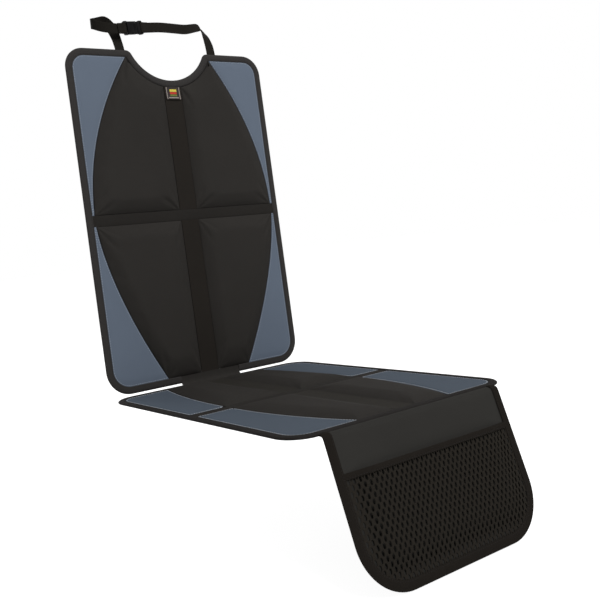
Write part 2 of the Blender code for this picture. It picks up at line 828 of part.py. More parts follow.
def strap_right(frame, place):
    """From the plug's bar across to the right, then twisted down to the back panel's top edge."""
    side = STRAP_SPREAD / 2
    wrap = bar_wrap(place, BUCKLE_HALF)
    leave = Vector(wrap[-1][0])
    bend = Vector((side - BEND_INSET, BEND_REACH, BEND_RISE))
    run = []
    for share, sag in ((0.25, -0.14), (0.5, 0.43), (0.75, 1)):
        run.append((leave.lerp(bend, share) - Vector((0, 0, RUN_SAG * sag)), (0, 0, 1)))
    shares = [
        ((1.000, 1.000, 1.000), (0.1, 0.4, 0.9)),
        ((0.563, 0.917, 0.934), (0.55, 0.75, 0.35)),
        ((0.313, 0.722, 0.810), (0.8, 0.6, 0)),
        ((0.125, 0.500, 0.628), (0.95, 0.3, 0)),
        ((0.000, 0.222, 0.331), (1, 0.05, 0)),
    ]
    fall = []
    for (inset, reach, rise), across in shares:
        centre = (side - BEND_INSET * inset, BEND_REACH * reach, BEND_RISE * rise)
        fall.append((centre, across))
    fall.append(((side, 0, GAP), (1, 0, 0)))
    route = smooth_route(wrap + run + fall, STRAP_STEPS)
    ribbon("strap_right", route, STRAP_WIDTH, STRAP_THICKNESS, webbing, frame)


def build_headrest_strap(back_foot):
    """The strap and its buckle, placed from the middle of the back panel's top edge."""
    rise = Vector((0, math.sin(BACK_LEAN), math.cos(BACK_LEAN)))
    frame = new_frame("strap_frame", Matrix.Translation(back_foot + rise * BACK_LENGTH))
    turn = Matrix.Rotation(BUCKLE_TURN, 4, "Z") @ Matrix.Rotation(-BUCKLE_RISE, 4, "Y")
    upright = Matrix.Rotation(math.pi / 2, 4, "X")
    place = Matrix.Translation(BUCKLE_PLACE) @ turn @ upright
    buckle_frame = new_frame("buckle_frame", place, frame)
    buckle_socket(buckle_frame)
    buckle_plug(buckle_frame)
    strap_left(frame, place)
    strap_right(frame, place)


clear_scene()
parts = new_collection("car_seat_protector_mat")
cutters = new_collection("cutters")
face_cloth = new_material("face_cloth", (0.028, 0.027, 0.024), 0.85)
channel_cloth = new_material("channel_cloth", (0.024, 0.020, 0.016), 0.9)
patch_cloth = new_material("patch_cloth", (0.090, 0.118, 0.162), 0.8)
grip_cloth = new_material("grip_cloth", (0.020, 0.020, 0.020), 0.7)
foam = new_material("foam", (0.10, 0.10, 0.10), 0.95)
binding_tape = new_material("binding_tape", (0.030, 0.029, 0.027), 0.7)
label_cloth = new_material("label_cloth", (0.040, 0.038, 0.034), 0.6)
mesh_cloth = new_material("mesh_cloth", (0.020, 0.019, 0.017), 0.8)
webbing = new_material("webbing", (0.018, 0.018, 0.018), 0.7)
buckle_plastic = new_material("buckle_plastic", (0.012, 0.012, 0.012), 0.4)

foot_of_back = Vector((0, SEAT_LENGTH / 2 + BACK_SETBACK, EDGE_HEIGHT / 2 + BACK_RISE))
back_panel = Panel(
    name="back",
    length=BACK_LENGTH,
    near_corner=BACK_LOW_CORNER,
    far_corner=BACK_HIGH_CORNER,
    band=BACK_BAND_WIDTH,
    pad_middle=BACK_PAD_MIDDLE,
    pad_near=BACK_PAD_LOW,
    pad_far=BACK_PAD_HIGH,
    near_power=BACK_LOW_POWER,
    far_power=BACK_HIGH_POWER,
    near_name="lower",
    far_name="upper",
    has_neck=True,
    left=-1,
    frame=leaning_frame("back_frame", foot_of_back, BACK_LEAN, EDGE_HEIGHT),
)
seat_turn = Matrix.Translation((0, SEAT_LENGTH / 2, 0)) @ Matrix.Rotation(math.pi, 4, "Z")
seat_panel = Panel(
    name="seat",
    length=SEAT_LENGTH,
    near_corner=SEAT_CORNER,
    far_corner=SEAT_CORNER,
    band=SEAT_BAND_WIDTH,
    pad_middle=SEAT_PAD_MIDDLE,
    pad_near=SEAT_PAD_REAR,
    pad_far=SEAT_PAD_FRONT,
    near_power=SEAT_POWER,
    far_power=SEAT_POWER,
    near_name="rear",
    far_name="front",
    has_neck=False,
    left=1,
    frame=new_frame("seat_frame", seat_turn),
)
build_panel(back_panel)
build_panel(seat_panel)
label(back_panel)
tongue(foot_of_back)
build_flap()
build_headrest_strap(foot_of_back)
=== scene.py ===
"""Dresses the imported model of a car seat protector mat.

The mat has a padded back panel, a padded seat panel, a front flap with a net pocket, and a headrest
strap with a side-release buckle. Lengths are in metres, in the frame of the CAD model: X across the
mat, Y towards the seat back and Z up, with the origin under the middle of the seat panel.
"""

import logging
import math
from collections.abc import Callable, Mapping, Sequence
from dataclasses import dataclass
from enum import Enum
from typing import Any

import bmesh
import bpy
from mathutils import Matrix, Vector


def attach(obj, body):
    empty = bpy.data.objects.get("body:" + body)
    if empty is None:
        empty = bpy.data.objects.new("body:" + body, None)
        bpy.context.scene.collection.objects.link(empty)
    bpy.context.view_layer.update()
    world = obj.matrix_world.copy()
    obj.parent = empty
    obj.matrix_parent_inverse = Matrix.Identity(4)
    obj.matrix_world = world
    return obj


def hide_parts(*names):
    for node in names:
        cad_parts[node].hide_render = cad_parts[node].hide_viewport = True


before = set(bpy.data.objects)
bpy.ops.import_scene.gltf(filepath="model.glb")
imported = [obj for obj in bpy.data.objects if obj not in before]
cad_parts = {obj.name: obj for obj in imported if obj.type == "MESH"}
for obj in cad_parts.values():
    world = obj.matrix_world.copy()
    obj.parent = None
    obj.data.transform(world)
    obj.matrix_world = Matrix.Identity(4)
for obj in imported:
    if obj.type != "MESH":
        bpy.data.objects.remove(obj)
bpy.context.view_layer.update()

LOG = logging.getLogger("car_seat_protector_mat")

Colour = tuple[float, float, float]
Triple = tuple[float, float, float]
Flat = tuple[float, float]
Station = tuple[Vector, Vector]

ROOT = "root"
CLOTH_MAP = "cloth"

# Layers of a panel, from its underside up
GAP = 0.0003
TAPE = 0.0005
BACKING = 0.0015
LINING = 0.0009
CLOTH = 0.0007
CLOTH_LOW = BACKING + LINING + 2 * GAP
CLOTH_HIGH = CLOTH_LOW + CLOTH
EDGE_HEIGHT = CLOTH_HIGH + GAP + TAPE
MAT_WIDTH = 0.450
BINDING_WIDTH = 0.014
BINDING_SEAM = 0.0116
TUCK = 0.006
CHANNEL_HALF = 0.020
TONGUE_WIDTH = 0.137
TONGUE_THICKNESS = 0.0026
SEAT_LENGTH = 0.5585
BACK_LENGTH = 0.666
BACK_LEAN = math.radians(3.1)
BACK_FOOT = Vector((0, SEAT_LENGTH / 2 + 0.0007, EDGE_HEIGHT / 2 + 0.0060))
BACK_RISE = Vector((0, math.sin(BACK_LEAN), math.cos(BACK_LEAN)))

# Neckline of the back panel
NECK_RADIUS = 0.092
NECK_CENTRE = BACK_LENGTH - 0.058 + NECK_RADIUS
SHOULDER_RADIUS = 0.014

# Room round a pad: beside the channel, beside the curved seam and by the neckline
PAD_GAP = 0.0004
SEAM_GAP = 0.0010
PAD_SCOOP = NECK_RADIUS + BINDING_WIDTH + 0.001

# How far a pad's rows crowd together at its edges, and how a seam puckers a folded tape
CROWDING = 0.68
PUCKER_PITCH = 0.0135
PUCKER_DRIFT = 331


class Slot(Enum):
    """The record's material slots."""

    FACE = "face_cloth"
    CHANNEL = "channel_cloth"
    PATCH = "patch_cloth"
    GRIP = "grip_cloth"
    FOAM = "foam"
    BINDING = "binding_tape"
    LABEL = "label_cloth"
    NET = "mesh_cloth"
    WEBBING = "webbing"
    BUCKLE = "buckle_plastic"


class Side(Enum):
    """The two halves of a panel, by the sign of their place across it."""

    LOW = -1
    HIGH = 1


def from_screen(red: int, green: int, blue: int) -> Colour:
    """A linear colour from its screen values.

    Args:
        red: the red screen value, from 0 to 255.
        green: the green screen value.
        blue: the blue screen value.

    Returns:
        The colour as a shader reads it.
    """
    linear = []
    for value in (red, green, blue):
        share = value / 255
        linear.append(share / 12.92 if share <= 0.04045 else ((share + 0.055) / 1.055) ** 2.4)
    return (linear[0], linear[1], linear[2])


def ease(share: float) -> float:
    """A smooth step from 0 to 1 for a share from 0 to 1."""
    share = min(max(share, 0.0), 1.0)
    return share * share * (3 - 2 * share)


def crowd(share: float) -> float:
    """A share moved so that even steps come closer together by both ends."""
    return share - CROWDING * math.sin(share * math.tau) / math.tau


# Materials


class Field:
    """A socket of a material, on which Python's operators add Math nodes."""

    def __init__(self, shader: "Shader", socket: bpy.types.NodeSocket) -> None:
        """Wrap a socket.

        Args:
            shader: the material that the socket is in.
            socket: the output that gives the value.
        """
        self.shader = shader
        self.socket = socket

    def math(self, operation: str, *values: "Field | float") -> "Field":
        """A Math node.

        Args:
            operation: the node's operation.
            values: its inputs, in order.

        Returns:
            The node's result.
        """
        return self.shader.field("ShaderNodeMath", {"operation": operation}, dict(enumerate(values)))

    def __add__(self, other: "Field | float") -> "Field":
        """The sum."""
        return self.math("ADD", self, other)

    def __radd__(self, other: float) -> "Field":
        """The sum, with the number first."""
        return self.math("ADD", other, self)

    def __sub__(self, other: "Field | float") -> "Field":
        """The difference."""
        return self.math("SUBTRACT", self, other)

    def __rsub__(self, other: float) -> "Field":
        """The difference, from a number."""
        return self.math("SUBTRACT", other, self)

    def __mul__(self, other: "Field | float") -> "Field":
        """The product."""
        return self.math("MULTIPLY", self, other)

    def __rmul__(self, other: float) -> "Field":
        """The product, with the number first."""
        return self.math("MULTIPLY", other, self)

    def __truediv__(self, other: "Field | float") -> "Field":
        """The quotient."""
        return self.math("DIVIDE", self, other)

    def __abs__(self) -> "Field":
        """The size without its sign."""
        return self.math("ABSOLUTE", self)

    def sine(self) -> "Field":
        """The sine, of an angle in radians."""
        return self.math("SINE", self)

    def above(self, limit: float) -> "Field":
        """1 where the value is above the limit, and 0 elsewhere."""
        return self.math("GREATER_THAN", self, limit)

    def within(self, low: float, high: float) -> "Field":
        """1 between two limits, and 0 elsewhere."""
        return self.above(low) * (1 - self.above(high))


class Shader:
    """The nodes of one material, or of the world."""

    def __init__(self, name: str, world: bool = False) -> None:
        """Start a material with a plain surface, or a world with no nodes.

        Args:
            name: its name.
            world: whether it is a world.
        """
        self.material = (bpy.data.worlds if world else bpy.data.materials).new(name)
        self.material.use_nodes = True
        self.tree = self.material.node_tree
        if world:
            self.tree.nodes.clear()
        else:
            self.surface = self.tree.nodes["Principled BSDF"]

    def node(
        self,
        kind: str,
        settings: Mapping[str, Any] | None = None,
        inputs: Mapping[int | str, Any] | None = None,
    ) -> bpy.types.Node:
        """Add a node.

        Args:
            kind: the node's type.
            settings: its own settings, which are set first.
            inputs: the value or field of each of its sockets.

        Returns:
            The node.
        """
        made = self.tree.nodes.new(kind)
        for key, value in (settings or {}).items():
            setattr(made, key, value)
        for key, value in (inputs or {}).items():
            self.connect(made.inputs[key], value)
        return made

    def connect(self, socket: bpy.types.NodeSocket, value: Any) -> None:
        """Give a socket a value or a field."""
        if isinstance(value, Field):
            self.tree.links.new(value.socket, socket)
        else:
            socket.default_value = value

    def field(
        self,
        kind: str,
        settings: Mapping[str, Any] | None = None,
        inputs: Mapping[int | str, Any] | None = None,
        output: int | str = 0,
    ) -> Field:
        """Add a node and take one of its results.

        Args:
            kind: the node's type.
            settings: its own settings.
            inputs: the value or field of each of its sockets.
            output: which result to take.

        Returns:
            The result.
        """
        return Field(self, self.node(kind, settings, inputs).outputs[output])

    def plane(self) -> tuple[Field, Field]:
        """The distances across and along a cloth, from the piece's own map."""
        return self.split(self.field("ShaderNodeUVMap", {"uv_map": CLOTH_MAP}))

    def body_plane(self) -> tuple[Field, Field]:
        """The distances across and along a panel's plane, from the piece's own coordinates."""
        parts = self.node("ShaderNodeSeparateXYZ", inputs={0: self.place()})
        return Field(self, parts.outputs[0]), Field(self, parts.outputs[1]) + Field(self, parts.outputs[2])

    def place(self) -> Field:
        """The piece's own coordinates, in metres."""
        return self.field("ShaderNodeTexCoord", output="Object")

    def split(self, vector: Field) -> tuple[Field, Field]:
        """The first two parts of a vector."""
        parts = self.node("ShaderNodeSeparateXYZ", inputs={0: vector})
        return Field(self, parts.outputs[0]), Field(self, parts.outputs[1])

    def noise(self, size: float, detail: float = 2.0) -> Field:
        """Soft noise from 0 to 1.

        Args:
            size: the width of its patches in metres.
            detail: how many finer layers it has.

        Returns:
            The noise.
        """
        inputs = {"Vector": self.place(), "Scale": 1 / size, "Detail": detail}
        return self.field("ShaderNodeTexNoise", inputs=inputs)

    def shade(self, colour: Colour | Field, light: Field) -> Field:
        """A colour made lighter or darker by a factor."""
        return self.field("ShaderNodeVectorMath", {"operation": "SCALE"}, {0: colour, "Scale": light})

    def blend(self, share: Field, low: Any, high: Any) -> Field:
        """A mix of two colours.

        Args:
            share: 0 for the first and 1 for the second.
            low: the first colour or field.
            high: the second.

        Returns:
            The mixed colour.
        """
        low = (*low, 1) if isinstance(low, tuple) else low
        high = (*high, 1) if isinstance(high, tuple) else high
        return self.field("ShaderNodeMix", {"data_type": "RGBA"}, {0: share, 6: low, 7: high}, 2)

    def weave(self, across: Field, along: Field, pitch: float) -> Field:
        """The height of a plain weave, from 0 between its threads to 1 on them.

        Args:
            across: the distance across the cloth.
            along: the distance along it.
            pitch: the distance between two threads.

        Returns:
            The height.
        """
        warp = (across * (math.pi / pitch)).sine()
        weft = (along * (math.pi / pitch)).sine()
        over = (warp * weft).above(0)
        return over * abs(warp) * (0.6 + 0.4 * abs(weft)) + (1 - over) * abs(weft) * (0.6 + 0.4 * abs(warp))

    def relief(self, height: Field, depth: float, strength: float = 1.0) -> None:
        """Raise the surface by a height.

        Args:
            height: the height, from 0 to 1.
            depth: what a height of 1 stands for, in metres.
            strength: how much of it shows.
        """
        inputs = {"Strength": strength, "Distance": depth, "Height": height}
        self.connect(self.surface.inputs["Normal"], self.field("ShaderNodeBump", inputs=inputs))

    def finish(self, colour: Any, **constants: float) -> bpy.types.Material:
        """Set the surface.

        Args:
            colour: its colour or field.
            constants: its other settings, with _ for a space.

        Returns:
            The material.
        """
        self.connect(self.surface.inputs["Base Color"], (*colour, 1) if isinstance(colour, tuple) else colour)
        for key, value in constants.items():
            self.connect(self.surface.inputs[key.replace("_", " ")], value)
        return self.material


@dataclass(frozen=True)
class WovenCloth:
    """A plain woven polyester cloth.

    Attributes:
        name: the material's name.
        colour: its mean colour.
        pitch: the distance between two threads.
        relief: how far the threads stand up.
        gaps: how much darker it is between the threads.
        cloud: how far its lightness drifts over the cloth.
        rough: its roughness.
        shine: its specular level.
    """

    name: str
    colour: Colour
    pitch: float = 0.0008
    relief: float = 0.00010
    gaps: float = 0.4
    cloud: float = 0.10
    rough: float = 0.85
    shine: float = 0.04

    def material(self) -> bpy.types.Material:
        """The finished material."""
        shader = Shader(self.name)
        across, along = shader.plane()
        threads = shader.weave(across, along, self.pitch)
        drift = shader.noise(0.11) + 0.35 * shader.noise(0.0021, 1.0)
        light = (1 - self.gaps * (1 - threads)) * (1 + self.cloud * 2 * (drift - 0.675))
        # depth() multiplies in the cloth's painted shade, if it has any.
        light = light * (1 / (1 - self.gaps * 0.52)) * self.depth(along)
        shader.relief(threads, self.relief, 0.7)
        colour = shader.shade(self.colour, light)
        return shader.finish(colour, Roughness=self.rough, Specular_IOR_Level=self.shine)

    def depth(self, along: Field) -> Field | float:
        """How light the cloth is at a distance along it, with any painted shade: none here."""
        return 1.0


@dataclass(frozen=True)
class PocketShadedCloth(WovenCloth):
    """The flap's cloth, painted darker below its pocket's mouth as the shade behind the net.

    Attributes:
        mouth: the height of the pocket's mouth.
        lining: how light the cloth stays under that painted shade.
    """

    mouth: float = 0.1665
    lining: float = 0.68

    def depth(self, along: Field) -> Field:
        """Full lightness above the mouth, and painted shade below it."""
        return self.lining + (1 - self.lining) * along.above(self.mouth)


@dataclass(frozen=True)
class RibbedTape:
    """A woven tape with ribs across or along it.

    Attributes:
        name: the material's name.
        colour: its mean colour.
        rib: the width of a rib.
        thread: the distance between the threads that cross the ribs.
        lengthwise: whether the ribs run along the tape.
        rough: its roughness.
        shine: its specular level.
    """

    name: str
    colour: Colour
    rib: float = 0.0011
    thread: float = 0.0007
    lengthwise: bool = False
    rough: float = 0.8
    shine: float = 0.12

    def material(self) -> bpy.types.Material:
        """The finished material."""
        shader = Shader(self.name)
        across, along = shader.plane()
        if not self.lengthwise:
            across, along = along, across
        ribs = abs((across * (math.pi / self.rib)).sine())
        turned = along + 0.5 * self.thread * (across * (math.pi / self.rib)).sine().above(0)
        threads = abs((turned * (math.pi / self.thread)).sine())
        height = ribs * 0.65 + threads * 0.35
        light = 0.62 + 0.6 * height + 0.10 * (shader.noise(0.02) - 0.5)
        shader.relief(height, 0.00022, 0.8)
        colour = shader.shade(self.colour, light)
        return shader.finish(colour, Roughness=self.rough, Specular_IOR_Level=self.shine)


@dataclass(frozen=True)
class GripCloth:
    """The non-slip cloth underneath, a coarse knit with a rubbery coat.

    Attributes:
        name: the material's name.
        colour: its colour.
        pitch: the distance between the rows of its knit.
    """

    name: str = "grip_cloth"
    colour: Colour = from_screen(44, 44, 45)
    pitch: float = 0.0016

    def material(self) -> bpy.types.Material:
        """The finished material."""
        shader = Shader(self.name)
        across, along = shader.body_plane()
        knit = shader.weave(across + along, across - along, self.pitch)
        light = 0.75 + 0.4 * knit + 0.16 * (shader.noise(0.05) - 0.5)
        shader.relief(knit, 0.0002, 0.8)
        return shader.finish(shader.shade(self.colour, light), Roughness=0.8, Specular_IOR_Level=0.15)


@dataclass(frozen=True)
class Moulded:
    """A moulded plastic or rubber.

    Attributes:
        name: the material's name.
        colour: its colour.
        rough: its roughness.
        grain: the size of its grain.
        shine: its specular level.
    """

    name: str
    colour: Colour
    rough: float
    grain: float
    shine: float = 0.5

    def material(self) -> bpy.types.Material:
        """The finished material."""
        shader = Shader(self.name)
        grain = shader.noise(self.grain, 3.0)
        wear = shader.noise(0.009)
        shader.relief(grain, self.grain / 6, 0.5)
        colour = shader.shade(self.colour, 0.85 + 0.3 * wear)
        rough = self.rough + 0.12 * (wear - 0.5)
        return shader.finish(colour, Roughness=rough, Specular_IOR_Level=self.shine)


@dataclass(frozen=True)
class SpunThread:
    """The twisted thread of a seam, or the yarn of the net.

    Attributes:
        name: the material's name.
        colour: its colour.
        twist: the size of its strands.
        shine: its specular level.
    """

    name: str
    colour: Colour
    twist: float = 0.0003
    shine: float = 0.12

    def material(self) -> bpy.types.Material:
        """The finished material."""
        shader = Shader(self.name)
        strands = shader.noise(self.twist, 1.0)
        shader.relief(strands, 0.0001, 0.6)
        colour = shader.shade(self.colour, 0.7 + 0.6 * strands)
        return shader.finish(colour, Roughness=0.8, Specular_IOR_Level=self.shine)


@dataclass(frozen=True)
class LiningFoam:
    """The open foam inside a panel.

    Attributes:
        name: the material's name.
        colour: its colour.
    """

    name: str = "foam"
    # Its dark colour also serves as painted shade in the seam gaps where the foam shows.
    colour: Colour = from_screen(38, 36, 35)

    def material(self) -> bpy.types.Material:
        """The finished material."""
        shader = Shader(self.name)
        inputs = {"Vector": shader.place(), "Scale": 900.0}
        cells = shader.field("ShaderNodeTexVoronoi", inputs=inputs)
        shader.relief(cells, 0.0003, 0.8)
        colour = shader.shade(self.colour, 0.6 + 0.8 * cells)
        return shader.finish(colour, Roughness=0.95, Specular_IOR_Level=0.1)


@dataclass(frozen=True)
class LabelCloth:
    """The woven label, with a pale line down each side and three plain bars.

    Attributes:
        name: the material's name.
        ground: its ground colour.
        border: the colour of its side lines.
        warm: the colour of the middle bar.
        sharp: the colour of the upper bar.
        leaf: the colour of the lower bar.
        half: half its width.
        line: how far inside its edge a side line starts and ends.
        bar: half the width of the bars.
        spans: where the upper, the middle and the lower bar lie along it.
        foot: half the width of the line at its foot.
        foot_span: where that line lies.
    """

    name: str = "label_cloth"
    ground: Colour = from_screen(42, 36, 34)
    border: Colour = from_screen(150, 141, 134)
    warm: Colour = from_screen(186, 52, 34)
    sharp: Colour = from_screen(206, 190, 76)
    leaf: Colour = from_screen(96, 112, 44)
    half: float = 0.017
    line: Flat = (0.0032, 0.0016)
    bar: float = 0.0078
    spans: tuple[Flat, Flat, Flat] = ((0.0030, 0.0080), (-0.0020, 0.0022), (-0.0062, -0.0028))
    foot: float = 0.0115
    foot_span: Flat = (-0.0104, -0.0084)

    def material(self) -> bpy.types.Material:
        """The finished material."""
        shader = Shader(self.name)
        across, along = shader.plane()
        threads = shader.weave(across, along, 0.00045)
        reach = abs(across)
        beside = reach.within(self.half - self.line[0], self.half - self.line[1])
        colour = shader.blend(beside, self.ground, self.border)
        inside = 1 - reach.above(self.bar)
        for span, tint in zip(self.spans, (self.sharp, self.warm, self.leaf)):
            colour = shader.blend(inside * along.within(*span), colour, tint)
        wide = 1 - reach.above(self.foot)
        colour = shader.blend(wide * along.within(*self.foot_span), colour, self.border)
        colour = shader.shade(colour, 0.7 + 0.5 * threads)
        shader.relief(threads, 0.0001, 0.8)
        return shader.finish(colour, Roughness=0.6, Specular_IOR_Level=0.2)


class Wardrobe:
    """The finishes of the mat, each made once."""

    def __init__(self) -> None:
        """Make every finish."""
        self.face = WovenCloth("face_cloth", from_screen(47, 45, 43)).material()
        # The flap's cloth carries painted shade below the pocket's mouth, behind the net.
        flap = from_screen(47, 46, 44)
        self.flap = PocketShadedCloth("flap_cloth", flap, pitch=0.0010).material()
        # Both channel cloths are darker than the face cloth: painted shade of the recessed channel between
        # the pads, less of it on the seat.
        self.channel = self.channel_cloth("channel_cloth", from_screen(38, 35, 32))
        self.seat_channel = self.channel_cloth("seat_channel_cloth", from_screen(43, 41, 38))
        self.patch = self.patch_cloth("patch_cloth", from_screen(97, 107, 121), 0.05)
        # The seat's patches use a darker copy of the patch cloth: painted shade for the less lit, level seat.
        self.shaded_seat_patch = self.patch_cloth("seat_patch_cloth", from_screen(77, 85, 95), 0.04)
        # The band's cloth is darker than the face cloth: painted shade of the recess between the upper and
        # the lower pads.
        self.band = WovenCloth("band_cloth", from_screen(40, 38, 36)).material()
        self.binding = RibbedTape("binding_tape", from_screen(50, 48, 47)).material()
        # The seat's binding uses a darker copy of the binding tape: painted shade, so that its front edge
        # shows as a dark line.
        self.seat_tape = RibbedTape("seat_tape", from_screen(38, 36, 35), rough=0.9, shine=0.05).material()
        dark = from_screen(33, 30, 27)
        self.dark_tape = RibbedTape("dark_tape", dark, rough=0.9, shine=0.02).material()
        black = from_screen(32, 30, 27)
        self.webbing = RibbedTape("webbing", black, 0.0016, 0.0010, True, shine=0.04).material()
        self.grip = GripCloth().material()
        self.dots = Moulded("grip_dots", from_screen(36, 36, 37), 0.55, 0.0008).material()
        self.foam = LiningFoam().material()
        self.label = LabelCloth().material()
        self.net = SpunThread("mesh_cloth", from_screen(38, 35, 31), 0.0005, 0.03).material()
        self.dark_thread = SpunThread("dark_thread", from_screen(36, 34, 33)).material()
        # The patch seams' pale threads are real stitches that also carry a painted highlight of each patch's
        # folded edge, brighter on the seat.
        self.pale_thread = SpunThread("pale_thread", from_screen(160, 167, 178)).material()
        self.bright_thread = SpunThread("bright_thread", from_screen(204, 209, 216)).material()
        self.plastic = Moulded("buckle_plastic", from_screen(9, 8, 9), 0.34, 0.0006, 0.09).material()
        # The rims' pale finish is a painted highlight on the frames' rounded edges, on black plastic.
        self.rim = Moulded("buckle_rim_highlights", from_screen(104, 104, 107), 0.28, 0.0006, 0.5).material()

    @staticmethod
    def channel_cloth(name: str, colour: Colour) -> bpy.types.Material:
        """The coarser cloth of a channel."""
        return WovenCloth(name, colour, pitch=0.0011).material()

    @staticmethod
    def patch_cloth(name: str, colour: Colour, shine: float) -> bpy.types.Material:
        """The finer, flatter cloth of the patches."""
        return WovenCloth(name, colour, 0.0007, 0.00007, 0.30, 0.06, 0.8, shine).material()


# Modelling by hand


def start() -> None:
    """Leave edit mode and select nothing."""
    if bpy.context.object and bpy.context.object.mode != "OBJECT":
        bpy.ops.object.mode_set(mode="OBJECT")
    bpy.ops.object.select_all(action="DESELECT")


def take(piece: bpy.types.Object) -> None:
    """Select one piece and make it the active one."""
    start()
    piece.select_set(True)
    bpy.context.view_layer.objects.active = piece


def apply_modifiers(piece: bpy.types.Object) -> None:
    """Apply every modifier of a piece, in order."""
    take(piece)
    for modifier in list(piece.modifiers):
        bpy.ops.object.modifier_apply(modifier=modifier.name)


def link(name: str, data: bpy.types.ID) -> bpy.types.Object:
    """Put new data into the scene as an object."""
    made = bpy.data.objects.new(name, data)
    bpy.context.scene.collection.objects.link(made)
    return made


def grid(
    name: str,
    columns: int,
    rows: int,
    place: Callable[[float, float], Vector],
    plane: Callable[[float, float], Flat] | None = None,
) -> bpy.types.Object:
    """A cloth made from a grid, with each point moved to its place.

    Args:
        name: the piece's name.
        columns: how many cells it has across.
        rows: how many cells it has along.
        place: gives a point from its shares across and along, from 0 to 1.
        plane: gives the point's distances across and along the flat cloth, if they aren't its own.

    Returns:
        The cloth, with no thickness yet.
    """
    start()
    bpy.ops.mesh.primitive_grid_add(x_subdivisions=columns, y_subdivisions=rows, size=2)
    piece = bpy.context.object
    piece.name = name
    shares = [((v.co.x + 1) / 2, (v.co.y + 1) / 2) for v in piece.data.vertices]
    for vertex, (across, along) in zip(piece.data.vertices, shares):
        vertex.co = place(across, along)
    while piece.data.uv_layers:
        piece.data.uv_layers.remove(piece.data.uv_layers[0])
    layer = piece.data.uv_layers.new(name=CLOTH_MAP)
    for loop in piece.data.loops:
        if plane is None:
            layer.data[loop.index].uv = piece.data.vertices[loop.vertex_index].co.xy
        else:
            layer.data[loop.index].uv = plane(*shares[loop.vertex_index])
    return piece


def thicken(piece: bpy.types.Object, thickness: float) -> bpy.types.Object:
    """Give a cloth its thickness, half to each side.

    Args:
        piece: the cloth.
        thickness: how thick it gets.

    Returns:
        The same piece.
    """
    wall = piece.modifiers.new("thickness", "SOLIDIFY")
    wall.thickness = thickness
    wall.offset = 0
    apply_modifiers(piece)
    return piece


def smooth(piece: bpy.types.Object, angle: float = 45.0) -> None:
    """Shade a piece smooth, but for its edges sharper than an angle in degrees."""
    take(piece)
    bpy.ops.object.shade_smooth_by_angle(angle=math.radians(angle))


def block(name: str, low: Sequence[float], high: Sequence[float]) -> bpy.types.Object:
    """A box between two corners, to be shaped further.

    Args:
        name: the piece's name.
        low: its lowest corner.
        high: its highest corner.

    Returns:
        The box.
    """
    start()
    middle = (Vector(low) + Vector(high)) / 2
    bpy.ops.mesh.primitive_cube_add(size=1, location=middle, scale=Vector(high) - Vector(low))
    piece = bpy.context.object
    piece.name = name
    bpy.ops.object.transform_apply(location=True, rotation=True, scale=True)
    return piece


def round_edges(piece: bpy.types.Object, axis: int, width: float, segments: int) -> None:
    """Round the edges that run along an axis.

    Args:
        piece: the piece.
        axis: 0, 1 or 2 for X, Y or Z.
        width: the width of the rounding.
        segments: how many steps it has.
    """
    take(piece)
    bpy.ops.object.mode_set(mode="EDIT")
    bpy.ops.mesh.select_mode(type="EDGE")
    bpy.ops.mesh.select_all(action="DESELECT")
    shape = bmesh.from_edit_mesh(piece.data)
    for edge in shape.edges:
        run = edge.verts[1].co - edge.verts[0].co
        edge.select = abs(run[axis]) > 0.99 * run.length
    bmesh.update_edit_mesh(piece.data)
    bpy.ops.mesh.bevel(offset=width, segments=segments, affect="EDGES")
    bpy.ops.object.mode_set(mode="OBJECT")


def merge(piece: bpy.types.Object, tool: bpy.types.Object, operation: str) -> None:
    """Join a tool to a piece, or cut it out, and remove the tool.

    Args:
        piece: the piece.
        tool: the other solid.
        operation: UNION or DIFFERENCE.
    """
    modifier = piece.modifiers.new("merge", "BOOLEAN")
    modifier.operation = operation
    modifier.object = tool
    apply_modifiers(piece)
    bpy.data.objects.remove(tool)


def soften(piece: bpy.types.Object, width: float, segments: int = 2, angle: float = 35.0) -> None:
    """Take the sharpness off a piece's edges.

    Args:
        piece: the piece.
        width: the width of the rounding.
        segments: how many steps it has.
        angle: how sharp an edge has to be, in degrees.
    """
    modifier = piece.modifiers.new("edges", "BEVEL")
    modifier.width = width
    modifier.segments = segments
    modifier.limit_method = "ANGLE"
    modifier.angle_limit = math.radians(angle)
    apply_modifiers(piece)


def dress(
    piece: bpy.types.Object,
    matrix: Matrix,
    material: bpy.types.Material,
    slot: Slot,
    nodes: Sequence[str] = (),
) -> bpy.types.Object:
    """Put a piece in its place, give it its finish and hide the CAD nodes that it stands for.

    Args:
        piece: the piece, modelled in the frame of its sub-assembly.
        matrix: the place of that frame.
        material: the piece's finish.
        slot: the record's slot for it; not used.
        nodes: the CAD nodes that it stands for.

    Returns:
        The same piece.
    """
    piece.data.transform(matrix)
    piece.data.materials.clear()
    piece.data.materials.append(material)
    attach(piece, ROOT)
    if nodes:
        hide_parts(*nodes)
    LOG.info("%s: %d faces", piece.name, len(piece.data.polygons))
    return piece


